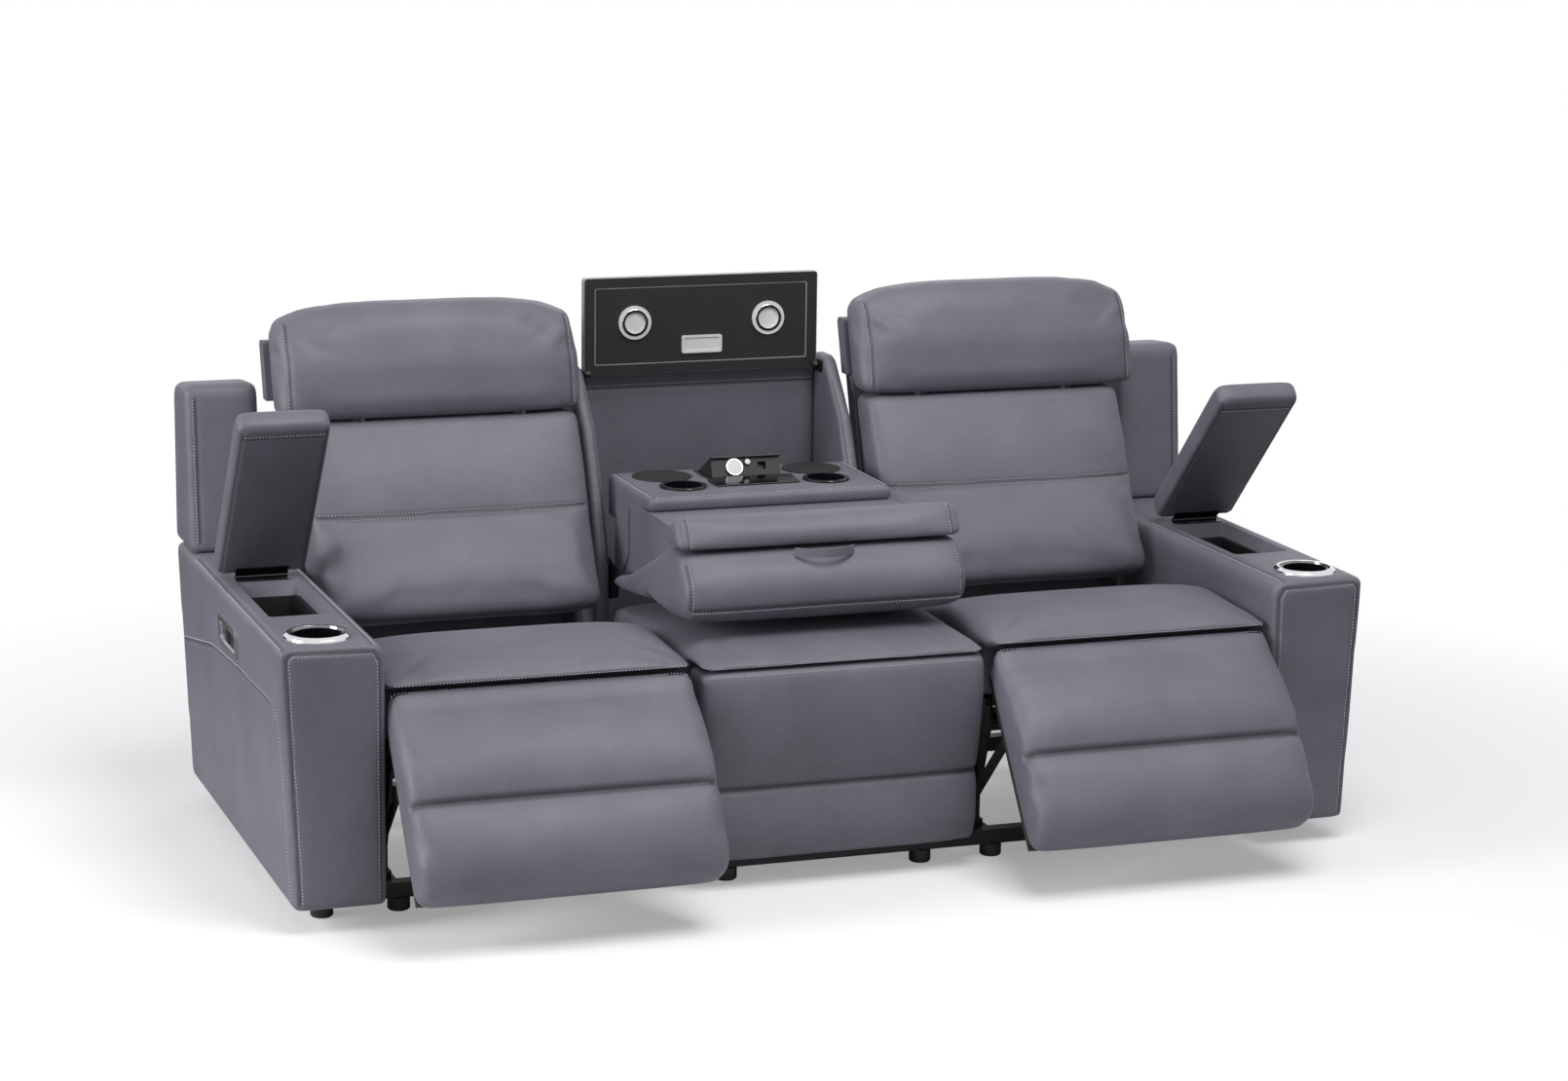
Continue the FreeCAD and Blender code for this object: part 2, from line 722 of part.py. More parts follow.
def link_bar(x0, x1, s0, z0, s1, z1, radius=link_half_width):
    """A flat bar with round ends between two points."""
    run = math.hypot(s1 - s0, z1 - z0)
    ns, nz = -(z1 - z0) / run * link_half_width, (s1 - s0) / run * link_half_width
    corners = [(s0 + ns, z0 + nz, 0.0), (s1 + ns, z1 + nz, 0.0), (s1 - ns, z1 - nz, 0.0),
               (s0 - ns, z0 - nz, 0.0)]
    bar = side_solid(corners, x0, x1)
    return bar.fuse(rod_x(x0, x1, s0, z0, radius)).fuse(rod_x(x0, x1, s1, z1, link_half_width))


def coupler_links():
    """The two bars from the cranks to the footrest, with their crank pins."""
    cranks, couplers = link_planes()
    s0, z0 = crank_pin()
    dy, dz = footrest_turn(lug_back, -lug_drop)
    s1, z1 = hinge_setback + dy, hinge_z + dz
    bars = []
    for (c0, c1), (x0, x1) in zip(cranks, couplers):
        bar = link_bar(x0, x1, s0, z0, s1, z1)
        bar = bar.cut(rod_x(x0 - 1, x1 + 1, s1, z1, lug_pin_radius + pin_clearance))
        bars.append(bar.fuse(rod_x(min(c0, x0), max(c1, x1), s0, z0, lug_pin_radius)))
    return Part.makeCompound(bars)


def side_plate(x):
    """A chassis side plate on its runner, with a window above the cross bars."""
    x0, x1 = x - plate_thickness / 2, x + plate_thickness / 2
    low = chassis_low_z + runner_height
    front = frame_front + 60
    plate = side_solid([
        (frame_front + 6, deck_z, 4.0), (frame_front + 6, deck_z - 40, 10.0),
        (front, low + 50, 30.0), (front, low, 4.0),
        (recline_setback + 30, low, 10.0), (recline_setback + 30, recline_z + 6, 20.0),
        (recline_setback - 24, recline_z + 16, 20.0), (deck_rear, deck_z, 8.0),
    ], x0, x1)
    window = rounded_rectangle(frame_front + window_front, recline_setback - window_rear,
                               cross_bar_z + cross_bar + window_margin, deck_z - 40, window_round)
    plate = plate.cut(side_solid(window, x0 - 1, x1 + 1))
    plate = plate.cut(rod_x(x0 - 1, x1 + 1, crank_setback, crank_z, crank_radius + pin_clearance))
    return plate.cut(rod_x(x0 - 1, x1 + 1, recline_setback, recline_z, recline_pin_radius + pin_clearance))


def hinge_arm(x):
    """The arm let into the deck's front edge, with the footrest's hinge pin at its top."""
    near = x + hinge_knuckle_half + 1
    far = x + hinge_knuckle_half + hinge_arm_thickness
    deck_top = deck_z + deck_thickness
    bar = side_solid([
        (hinge_setback + 6, hinge_z, 0.0), (frame_front - 2, deck_top + 4, 0.0),
        (frame_front - 2, deck_top, 0.0), (frame_front + 30, deck_top, 0.0),
        (frame_front + 30, deck_z, 0.0), (frame_front - 12, deck_z, 0.0),
        (hinge_setback - 6, hinge_z - 4, 0.0),
    ], near, far)
    pin = rod_x(x - hinge_knuckle_half, far, hinge_setback, hinge_z, hinge_pin_radius)
    head = rod_x(near, far, hinge_setback, hinge_z, hinge_knuckle_radius)
    return bar.fuse(head).fuse(pin)


def seat_frame():
    """The recliner chassis in its welded parts: deck, plates, runners, cross bars and hinge arms."""
    deck = block(plate_inner_x - deck_overhang, plate_outer_x + deck_overhang, frame_front, deck_rear,
                 deck_z, deck_z + deck_thickness)
    pieces = []
    for x in (plate_inner_x, plate_outer_x):
        arm_bar = hinge_arm(x)
        deck = deck.cut(arm_bar)
        runner = block(x - runner_width / 2, x + runner_width / 2, frame_front + 60,
                       recline_setback + 20, chassis_low_z, chassis_low_z + runner_height)
        pieces += [side_plate(x), runner, arm_bar]
    for setback in cross_bar_setbacks:
        pieces.append(block(plate_inner_x + plate_thickness / 2, plate_outer_x - plate_thickness / 2,
                            setback, setback + cross_bar, cross_bar_z, cross_bar_z + cross_bar))
    return Part.makeCompound([deck] + pieces)


def actuator():
    """The motor and its drive rail, lying on the chassis cross bars."""
    low = cross_bar_z + cross_bar
    x = bay_middle_x
    rail = block(x - 20, x + 20, 300, cross_bar_setbacks[1] + cross_bar, low, low + 22)
    motor = rod_z(x, cross_bar_setbacks[1] - 30, low, low + 96, 34.0)
    gearbox = block(x - 38, x + 38, cross_bar_setbacks[1] - 70, cross_bar_setbacks[1] + 8, low, low + 46)
    slot = block(x - 9, x + 9, 312, cross_bar_setbacks[1] - 80, low + 6, low + 23)
    return rail.fuse(gearbox).fuse(motor).cut(slot)


def shell_setback(z, offset=0.0):
    """Setback of the back shell's front plane at a height, offset along its normal."""
    lean = math.radians(shell_lean)
    return shell_ref_setback + (z - shell_ref_z) * math.tan(lean) + offset / math.cos(lean)


def back_shell():
    """The back's shell, with wide shoulders, hinge ears and the headrest's fixed arms."""
    def slab(x0, x1, z0, z1, radius):
        return side_solid([
            (shell_setback(z0), z0, 4.0), (shell_setback(z1), z1, radius),
            (shell_setback(z1, shell_thickness), z1, radius),
            (shell_setback(z0, shell_thickness), z0, 4.0),
        ], x0, x1)
    lower = slab(bay_middle_x - shell_half_lower, bay_middle_x + shell_half_lower,
                 shell_bottom_z, shell_wide_z + 10, 2.0)
    upper = slab(shell_inner_x, shell_outer_x, shell_wide_z, shell_top_z, 12.0)
    shell = lower.fuse(upper)
    for x, inward in ((plate_inner_x, 1), (plate_outer_x, -1)):
        near = x + inward * (plate_thickness / 2 + 1)
        x0, x1 = sorted((near, near + inward * shell_ear_width))
        under_pad = lumbar_bottom_z - 6
        ear = side_solid([
            (recline_setback - 26, recline_z - 24, 20.0), (recline_setback + 30, recline_z - 24, 20.0),
            (shell_setback(470, 10), 470, 4.0), (shell_setback(520, 10), 520, 4.0),
            (shell_setback(under_pad), under_pad, 4.0),
            (recline_setback - 26, recline_z + 40, 20.0),
        ], x0, x1)
        pin = rod_x(min(x - plate_thickness, x0), max(x + plate_thickness, x1),
                    recline_setback, recline_z, recline_pin_radius)
        shell = shell.fuse(ear).fuse(pin)
    for x in headrest_arm_x():
        shell = shell.fuse(headrest_arm(x - 10, x - 2, shell_setback(crease_z, 8)))
        shell = shell.fuse(rod_x(x - 10, x + 12, crease_setback, crease_z, headrest_pin_radius))
    return shell


def headrest_arm_x():
    return bay_middle_x - headrest_arm_offset, bay_middle_x + headrest_arm_offset


def headrest_arm(x0, x1, end_setback):
    """A flat bar from the crease's pin to the board or shell behind."""
    height = 14.0
    bar = block(x0, x1, crease_setback, end_setback, crease_z - height / 2, crease_z + height / 2)
    return bar.fuse(rod_x(x0, x1, crease_setback, crease_z, height / 2))


def lumbar_pad():
    """The back's main pad, from the seat to the crease under the headrest."""
    top = crease_z - 7 - soft_gap
    rear_low = shell_setback(lumbar_bottom_z, -seat_clearance)
    rear_top = shell_setback(top, -seat_clearance)
    corners = [
        (526, lumbar_bottom_z + 10, 518, lumbar_bottom_z, 26.0),
        (604, 560, 580, 556, 160.0), (671, 650, 650, 650, 120.0),
        (704, 730, 686, 730, 120.0), (736, 792, 728, 800, 40.0),
        (758, top, 752, top, 12.0), (rear_top - 4, top, rear_top, top, 8.0),
        (rear_low, lumbar_bottom_z + 10, rear_low, lumbar_bottom_z, 12.0),
    ]
    half = shell_half_lower + 3
    return pad(bay_middle_x - half, bay_middle_x + half, corners)


def headrest_pad():
    """The arched headrest, slotted underneath for its hinge arms."""
    low = crease_z - 2
    rear = 14.0
    corners = [
        (760, low + 4, 748, low, 12.0), (764, 880, 750, 878, 60.0),
        (776, 950, 762, 950, 100.0), (802, 1008, 790, 1030, 60.0),
        (828, headrest_corner_z - 6, 822, headrest_arch_z, 34.0),
        (shell_setback(1030, -rear), headrest_corner_z - 8, shell_setback(1066, -rear) - 16,
         headrest_arch_z - 2, 26.0),
        (shell_setback(960, -rear), 960, shell_setback(960, -rear), 960, 60.0),
        (shell_setback(low, -rear), low + 2, shell_setback(low, -rear), low, 6.0),
    ]
    soft = pad(headrest_inner_x, headrest_outer_x, corners, 12.0)
    for x in headrest_arm_x():
        soft = soft.cut(block(x - 16, x + 18, 700, 900, low - 20, crease_z + 7 + soft_gap))
    return soft


def headrest_frame():
    """The board behind the headrest pad and its two hinge arms."""
    z0, z1 = crease_z + 16, 1000.0
    board = side_solid([
        (shell_setback(z0, -13.6), z0, 1.0), (shell_setback(z1, -13.6), z1, 1.0),
        (shell_setback(z1, -3.0), z1, 1.0), (shell_setback(z0, -3.0), z0, 1.0),
    ], headrest_inner_x + 30, headrest_outer_x - 30)
    for x in headrest_arm_x():
        bar = headrest_arm(x, x + 8, shell_setback(crease_z, -16))
        low, step, high = crease_z - 7, crease_z + 8, z0 + 14
        web = side_solid([
            (shell_setback(low, -30), low, 1.0), (shell_setback(low, -5), low, 1.0),
            (shell_setback(high, -5), high, 1.0), (shell_setback(high, -13.2), high, 1.0),
            (shell_setback(step, -13.2), step, 0.0), (shell_setback(step, -30), step, 1.0),
        ], x, x + 8)
        board = board.fuse(bar).fuse(web)
        board = board.cut(rod_x(x - 1, x + 9, crease_setback, crease_z, headrest_pin_radius + pin_clearance))
    return board


def base_frame():
    """The welded steel base: cross rails between the arms and four long rails."""
    z0, z1 = foot_height, foot_height + rail_size
    inner = arm_inner_x - seat_clearance
    frame = block(-inner, inner, front_rail_setback, front_rail_setback + rail_size, z0, z1)
    frame = frame.fuse(block(-inner, inner, rear_rail_setback, rear_rail_setback + rail_size, z0, z1))
    for x in (plate_inner_x, plate_outer_x, centre_rail_x):
        for side in (-1, 1):
            rail = block(side * x - rail_size / 2, side * x + rail_size / 2, front_rail_setback,
                         rear_rail_setback + rail_size, z0, z1)
            frame = frame.fuse(rail)
    deck = block(-centre_half + 6, centre_half - 6, *centre_deck_setbacks, deck_z, deck_z + deck_thickness)
    frame = frame.fuse(deck)
    rear = rear_rail_setback + rail_size
    half = stay_size / 2
    for side in (-1, 1):
        for setback in post_setbacks:
            post = block(side * centre_rail_x - rail_size / 2, side * centre_rail_x + rail_size / 2,
                         setback, setback + rail_size, z1, deck_z)
            frame = frame.fuse(post)
        stay = block(side * stay_x - half, side * stay_x + half, wall_setback - stay_lead, rear,
                     z1, wall_bottom_z)
        frame = frame.fuse(stay)
    return frame.fuse(block(-stay_x - half, stay_x + half, rear_rail_setback, rear,
                            wall_bottom_z - rail_size, wall_bottom_z))


def feet():
    """Round feet, each with a pad: under the rails to their underside, under the arms to theirs."""
    pieces = []
    for x in feet_x:
        top = underside_z if x > arm_inner_x else foot_height
        for side in (-1, 1):
            for setback in foot_setbacks:
                foot = rod_z(side * x, setback, 0.0, top, foot_radius)
                pieces.append(foot.makeChamfer(foot_chamfer, [foot.Edges[2]]))
    return Part.makeCompound(pieces)


def centre_back_frame():
    """The fixed centre back: a recess wall between two cheeks with sloped fronts."""
    cheek = [
        (698, wall_bottom_z, 4.0), (698, 540, 60.0), (732, 640, 80.0), (798, 785, 80.0),
        (878, 878, 40.0), (904, cheek_top_z, 16.0),
        (wall_setback + wall_thickness, cheek_top_z, 14.0),
        (wall_setback + wall_thickness, wall_bottom_z, 4.0),
    ]
    frame = block(-cheek_inner_x - 1, cheek_inner_x + 1, wall_setback, wall_setback + wall_thickness,
                  wall_bottom_z, wall_top_z)
    for side in (-1, 1):
        x0, x1 = sorted((side * cheek_inner_x, side * (cheek_inner_x + cheek_thickness)))
        frame = frame.fuse(side_solid(cheek, x0, x1))
    return frame


def centre_seat_cushion():
    base = deck_z + deck_thickness + seat_clearance
    front_lip = 449.0
    corners = [
        (12, front_lip, 4, front_lip, 4.0), (10, front_lip + 10, 0, front_lip + 14, 10.0),
        (58, front_lip + 20, 55, front_lip + 28, 60.0), (290, front_lip + 22, 290, front_lip + 32, 300.0),
        (500, 462, 500, 468, 60.0), (606, 452, 612, 458, 30.0), (606, base, 612, base, 12.0),
        (112, base, 108, base, 12.0), (112, front_lip, 108, front_lip, 10.0),
    ]
    return pad(-centre_half, centre_half, corners)


def centre_seat_front():
    """The fixed pad under the centre seat's front edge, with a crease."""
    top = 449.0 - soft_gap + 4.4
    corners = [
        (14, top - 6, 8, top - 3, 10.0), (24, top, 20, top, 6.0), (104, top, 104, top, 6.0),
        (104, 55, 104, 50, 8.0), (46, 55, 40, 50, 16.0), (34, 110, 24, 110, 60.0),
        (38, 184, 30, 188, 16.0), (46, 203, 44, 203, 4.0), (36, 222, 26, 220, 16.0),
        (20, 300, 4, 300, 80.0), (10, 380, -6, 386, 60.0),
    ]
    return pad(-centre_half, centre_half, corners)


def drop_cushion():
    """The drop-down back's cushion, lying face down, with the crease under its headrest."""
    corners = [
        (620, 488, 628, 484, 18.0), (508, 498, 508, 490, 200.0), (392, 512, 392, 504, 26.0),
        (377, 530, 377, 528, 4.0), (362, 516, 362, 508, 26.0), (230, 512, 230, 504, 120.0),
        (118, 528, 109, 523, 26.0), (110, 590, 99, 590, 50.0), (166, 650, 158, 652, 12.0),
        (245, 653, 245, 655, 10.0), (375, 596, 375, 598, 30.0), (522, 536, 522, 538, 30.0),
        (620, 514, 628, 512, 10.0),
    ]
    return pad(-drop_cushion_half, drop_cushion_half, corners)


def console_core():
    """The stiff core of the drop-down back, bored for the cups and pocketed for the outlet."""
    corners = [
        (264, 647.1, 3.0), (376, 597.9, 20.0), (523, 537.95, 20.0), (640, 514, 8.0),
        (core_rear_setback, 520, 8.0), (core_rear_setback, console_core_z, 2.0),
        (264, console_core_z, 3.0),
    ]
    core = side_solid(corners, -console_half, console_half)
    for side in (-1, 1):
        bottom = console_top_z - console_cup_depth - 4
        core = core.cut(rod_z(side * console_cup_x, console_cup_setback, bottom, console_top_z,
                              console_cup_radius + 2 + seat_clearance))
    return core.cut(popup_pocket())


def popup_pocket():
    back = popup_front_setback + popup_length
    return block(-popup_half - 5, popup_half + 5, popup_front_setback - 5, back + 5,
                 console_top_z - popup_depth - 16, console_top_z + 1)


def console_table():
    """The covered table top with a deeper skirt behind the core."""
    gap = seat_clearance
    corners = [
        (console_front_setback, console_core_z + gap, 2.0), (console_front_setback, console_top_z, 8.0),
        (console_rear_setback, console_top_z, 8.0), (console_rear_setback, console_skirt_z, 6.0),
        (core_rear_setback + gap, console_skirt_z, 6.0),
        (core_rear_setback + gap, console_core_z + gap, 1.0),
    ]
    table = side_solid(corners, -console_half, console_half)
    for side in (-1, 1):
        table = table.cut(rod_z(side * console_cup_x, console_cup_setback, 600, console_top_z + 1,
                                console_cup_radius + 2 + seat_clearance))
        table = table.cut(rod_z(side * round_pad_x, round_pad_setback, console_top_z - round_pad_sink,
                                console_top_z + 1, round_pad_radius + seat_clearance))
    return table.cut(popup_pocket())


def console_cups():
    cups = []
    for side in (-1, 1):
        x = side * console_cup_x
        bottom = console_top_z - console_cup_depth
        cup = rod_z(x, console_cup_setback, bottom, console_top_z, console_cup_radius + 2)
        rim = rod_z(x, console_cup_setback, console_top_z, console_top_z + 4, console_ring_radius)
        rim = rim.makeChamfer(1.5, [rim.Edges[0]])
        hollow = rod_z(x, console_cup_setback, bottom + 2, console_top_z + 10, console_cup_radius)
        cups.append(cup.fuse(rim).cut(hollow))
    return Part.makeCompound(cups)


def round_pads():
    discs = []
    for side in (-1, 1):
        disc = rod_z(side * round_pad_x, round_pad_setback, console_top_z - round_pad_sink,
                     console_top_z + 1.5, round_pad_radius)
        discs.append(disc)
    return Part.makeCompound(discs)


def touch_strip():
    """The raised control strip in front of the outlet, higher at the back."""
    back = strip_setback + strip_depth
    return side_solid([
        (strip_setback, console_top_z, 0.5), (strip_setback, console_top_z + 3, 1.0),
        (back - 4, console_top_z + 9, 2.0), (back, console_top_z, 0.5),
    ], -strip_half, strip_half)


def popup_frame():
    """The outlet's fixed tray with side walls and the hinge pins."""
    back = popup_front_setback + popup_length
    low = console_top_z - popup_depth - 15.7
    outer = block(-popup_half - 4.7, popup_half + 4.7, popup_front_setback - 4.7, back + 4.7,
                  low, console_top_z)
    rim = block(-popup_half - 8, popup_half + 8, popup_front_setback - 7, back + 8,
                console_top_z, console_top_z + 1.6)
    room = block(-popup_half - popup_clearance, popup_half + popup_clearance,
                 popup_front_setback - popup_clearance, back + 2.5,
                 low + 2, console_top_z + 5)
    frame = outer.fuse(rim).cut(room)
    pin_s, pin_z = popup_pin()
    for side in (-1, 1):
        x0, x1 = sorted((side * (popup_half - 6), side * (popup_half + 4)))
        frame = frame.fuse(rod_x(x0, x1, pin_s, pin_z, 2.5))
    return frame


def popup_pin():
    return popup_front_setback + popup_length - 5, console_top_z - 6


def popup_outlet():
    """The wedge that carries the sockets, turned up about its rear pins."""
    back = popup_front_setback + popup_length - popup_clearance
    top = console_top_z + 1.4
    low = console_top_z - popup_depth
    corners = [
        (popup_front_setback, top, 1.0), (back, top, 1.0), (back, top - 14, 5.0),
        (popup_front_setback + 30, low, 8.0), (popup_front_setback + 12, low, 4.0),
        (popup_front_setback + 8, top - 5, 1.0), (popup_front_setback, top - 4, 1.0),
    ]
    wedge = side_solid(corners, -popup_half, popup_half)
    for x, z, radius in ((-26.0, -22.0, 19.0), (4.0, -12.0, 7.5)):
        socket = Part.makeCylinder(radius, 3.0, Vector(x, at(popup_front_setback + 6), console_top_z + z),
                                   Vector(0, 1, 0))
        wedge = wedge.fuse(socket.makeChamfer(0.8, [socket.Edges[2]]))
    port = block(26.0, 44.0, popup_front_setback + 2, popup_front_setback + 22,
                 console_top_z - 28, console_top_z - 12)
    wedge = wedge.cut(port)
    pin_s, pin_z = popup_pin()
    wedge = wedge.cut(rod_x(-popup_half - 1, popup_half + 1, pin_s, pin_z, 2.5 + pin_clearance))
    return turned(wedge, pin_s, pin_z, popup_rest)


def console_roll():
    """The roll pad along the top edge of the drop-down back."""
    corners = [
        (150, 655.4, 144, 655.4, 8.0), (186, 718, 182, 724, 16.0), (212, 718, 214, 724, 16.0),
        (252, 678, 256, 680, 24.0), (258, 655.4, 262, 655.4, 8.0),
    ]
    return pad(-roll_half, roll_half, corners, 14.0)


def pull_loop():
    """The sewn strap to pull the back down by, arched out of the crease."""
    half, reach, thick = 62.0, 30.0, 3.0
    base = 144.0
    z0, z1 = 637.8, 655.0
    place = floor_plane(z0)
    edges = [
        Part.Arc(place(-half, base), place(0, base - reach), place(half, base)).toShape(),
        Part.LineSegment(place(half, base), place(half - thick - 2, base)).toShape(),
        Part.Arc(place(half - thick - 2, base), place(0, base - reach + thick),
                 place(thick + 2 - half, base)).toShape(),
        Part.LineSegment(place(thick + 2 - half, base), place(-half, base)).toShape(),
    ]
    return Part.Face(Part.Wire(edges)).extrude(Vector(0, 0, z1 - z0))


def console_arms():
    """The moving hinge arms screwed to the sides of the core."""
    arms = []
    for side in (-1, 1):
        near = side * (console_half + seat_clearance)
        x0, x1 = sorted((near, near + side * 3))
        plate = side_solid([
            (console_pivot_setback - 16, console_pivot_z, 8.0),
            (console_pivot_setback - 80, 560, 12.0), (console_pivot_setback - 80, 660, 10.0),
            (console_pivot_setback + 8, 660, 10.0), (console_pivot_setback + 16, console_pivot_z, 8.0),
        ], x0, x1)
        eye = rod_x(x0, x1, console_pivot_setback, console_pivot_z, 16.0)
        hole = rod_x(x0 - 1, x1 + 1, console_pivot_setback, console_pivot_z,
                     console_pin_radius + pin_clearance)
        arms.append(plate.fuse(eye).cut(hole))
    return Part.makeCompound(arms)


def centre_hinges():
    """The fixed hinge plates: two with pins for the console, two for the light panel."""
    plates = []
    for side in (-1, 1):
        wall = side * (cheek_inner_x - seat_clearance)
        x0, x1 = sorted((wall, wall - side * 3))
        plate = side_solid([
            (console_pivot_setback - 22, console_pivot_z - 30, 10.0),
            (console_pivot_setback + 90, console_pivot_z - 60, 12.0),
            (console_pivot_setback + 110, console_pivot_z + 60, 20.0),
            (console_pivot_setback - 22, console_pivot_z + 24, 14.0),
        ], x0, x1)
        x0, x1 = sorted((wall, side * (console_half - 0.5)))
        pin = rod_x(x0, x1, console_pivot_setback, console_pivot_z, console_pin_radius)
        plates.append(plate.fuse(pin))
        x0, x1 = sorted((wall, wall - side * 4))
        bracket = side_solid([
            (panel_hinge_setback - 14, panel_hinge_z - 16, 4.0),
            (panel_hinge_setback + 30, panel_hinge_z - 16, 4.0),
            (panel_hinge_setback + 30, panel_hinge_z + 8, 4.0),
            (panel_hinge_setback - 14, panel_hinge_z + 12, 4.0),
        ], x0, x1)
        x0, x1 = sorted((wall, side * (panel_half - 9)))
        pin = rod_x(x0, x1, panel_hinge_setback, panel_hinge_z, 4.0)
        plates.append(bracket.fuse(pin))
    return Part.makeCompound(plates)


def light_panel():
    """The flip-up panel with a raised border, lamp seats and hinge ears."""
    back = panel_front_setback + panel_thickness
    panel = front_solid(rounded_rectangle(-panel_half, panel_half, panel_bottom_z, panel_top_z, 6.0),
                        panel_front_setback, back)
    inside = front_solid(rounded_rectangle(-panel_half + 22, panel_half - 22, panel_bottom_z + 20,
                                           panel_top_z - 20, 4.0),
                         panel_front_setback - 1, panel_front_setback + 2)
    panel = panel.cut(inside)
    for side in (-1, 1):
        x0, x1 = sorted((side * (panel_half - 10), side * panel_half))
        ear = rod_x(x0, x1, panel_hinge_setback, panel_hinge_z, 7.5)
        web = block(x0, x1, panel_hinge_setback, back - 1, panel_hinge_z - 4, panel_hinge_z + 7.5)
        panel = panel.fuse(ear).fuse(web)
        panel = panel.cut(rod_x(x0 - 1, x1 + 1, panel_hinge_setback, panel_hinge_z, 4 + pin_clearance))
        start = Vector(side * lamp_x, at(panel_front_setback), lamp_z)
        panel = panel.cut(Part.makeCylinder(lamp_radius - 8, 8.0, start, Vector(0, 1, 0)))
    return panel


def panel_lamps():
    """Two round lamps and one oblong lamp, each in a raised white frame."""
    lamps = []
    seat = panel_front_setback + 2
    for side in (-1, 1):
        start = Vector(side * lamp_x, at(seat - 5), lamp_z)
        rim = Part.makeCylinder(lamp_radius, 5.0, start, Vector(0, 1, 0))
        stem = Part.makeCylinder(lamp_radius - 8 - seat_clearance, 9.0, start, Vector(0, 1, 0))
        dish = Part.makeCone(lamp_radius - 6, lamp_radius - 14, 3.0, start, Vector(0, 1, 0))
        lamps.append(rim.fuse(stem).cut(dish))
    dome = front_solid(rounded_rectangle(-dome_half_width, dome_half_width, dome_z - dome_half_height,
                                         dome_z + dome_half_height, 4.0), seat - 5, seat)
    dish = front_solid(rounded_rectangle(-dome_half_width + 6, dome_half_width - 6,
                                         dome_z - dome_half_height + 5, dome_z + dome_half_height - 5, 3.0),
                       seat - 6, seat - 3)
    lamps.append(dome.cut(dish))
    return Part.makeCompound(lamps)


def power_supply():
    """The mains unit with its inlet, on the rear rail behind the centre seat."""
    low = foot_height + rail_size
    body = block(-70, 70, rear_rail_setback - 60, rear_rail_setback + rail_size, low, low + 42)
    inlet = block(-14, 14, rear_rail_setback + rail_size - 14, rear_rail_setback + rail_size + 1,
                  low + 12, low + 30)
    return body.cut(inlet)


def save(name, shape):
    shape.exportStep(os.path.join("parts", name + ".step"))


def save_pair(name, shape):
    save("right_" + name, shape)
    save("left_" + name, mirrored(shape))


def save_both(name, shape):
    save(name, Part.makeCompound([shape, mirrored(shape)]))


def build():
    os.makedirs("parts", exist_ok=True)
    save("base_frame", base_frame())
    save("feet", feet())
    save("power_supply", power_supply())
    save_pair("arm", arm())
    save_both("arm_bins", arm_bin())
    save_both("cup_holders", cup_holder())
    save_both("cup_rings", cup_ring())
    save_pair("wing", wing())
    save_pair("control_panel", control_panel())
    save_pair("recline_rocker", rocker(rocker_offsets[0]))
    save_pair("headrest_rocker", rocker(rocker_offsets[1]))
    save_both("lid_hinge_bases", hinge_leaf(False, 0.0))
    save("right_lid", lid(right_lid_open))
    save("left_lid", mirrored(lid(left_lid_open)))
    save("right_lid_leaf", hinge_leaf(True, right_lid_open))
    save("left_lid_leaf", mirrored(hinge_leaf(True, left_lid_open)))

    save_pair("seat_frame", seat_frame())
    save_pair("seat_cushion", seat_cushion())
    save_pair("actuator", actuator())
    save_pair("back_shell", back_shell())
    save_pair("lumbar_pad", lumbar_pad())
    save_pair("headrest_pad", headrest_pad())
    save_pair("headrest_frame", headrest_frame())
    save_pair("footrest_pad", footrest_pad())
    save_pair("footrest_board", footrest_board())
    save_pair("drive_links", drive_links())
    save_pair("coupler_links", coupler_links())

    save("centre_back_frame", centre_back_frame())
    save("centre_hinges", centre_hinges())
    save("centre_seat_cushion", centre_seat_cushion())
    save("centre_seat_front", centre_seat_front())
    save("drop_cushion", drop_cushion())
    save("console_core", console_core())
    save("console_table", console_table())
    save("console_roll", console_roll())
    save("console_arms", console_arms())
    save("console_cups", console_cups())
    save("round_pads", round_pads())
    save("touch_strip", touch_strip())
    save("popup_frame", popup_frame())
    save("popup_outlet", popup_outlet())
    save("pull_loop", pull_loop())
    save("light_panel", light_panel())
    save("panel_lamps", panel_lamps())


build()
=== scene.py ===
import math

import bmesh
import bpy
import numpy as np
from bpy.props import FloatProperty, FloatVectorProperty, PointerProperty
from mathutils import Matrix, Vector
from mathutils.bvhtree import BVHTree


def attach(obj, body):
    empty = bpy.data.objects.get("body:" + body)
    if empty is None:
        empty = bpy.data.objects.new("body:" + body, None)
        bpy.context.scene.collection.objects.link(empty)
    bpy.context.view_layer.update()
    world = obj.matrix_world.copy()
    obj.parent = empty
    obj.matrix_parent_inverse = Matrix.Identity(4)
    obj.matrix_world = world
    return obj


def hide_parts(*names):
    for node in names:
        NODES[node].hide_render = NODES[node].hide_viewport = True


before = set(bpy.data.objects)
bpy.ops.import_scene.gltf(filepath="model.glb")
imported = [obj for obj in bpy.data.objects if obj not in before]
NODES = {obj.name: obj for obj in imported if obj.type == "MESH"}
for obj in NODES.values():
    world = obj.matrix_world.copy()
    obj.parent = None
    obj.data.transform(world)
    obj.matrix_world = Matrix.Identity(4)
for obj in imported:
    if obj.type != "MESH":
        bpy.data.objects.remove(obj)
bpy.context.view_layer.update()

bl_info = {
    "name": "Sofa With Drop Down Console",
    "version": (1, 0, 0),
    "blender": (4, 5, 0),
    "location": "3D View > Sidebar > Sofa",
    "description": "Upholstery, stitching and finishes for a power sofa with a centre console",
    "category": "Object",
}

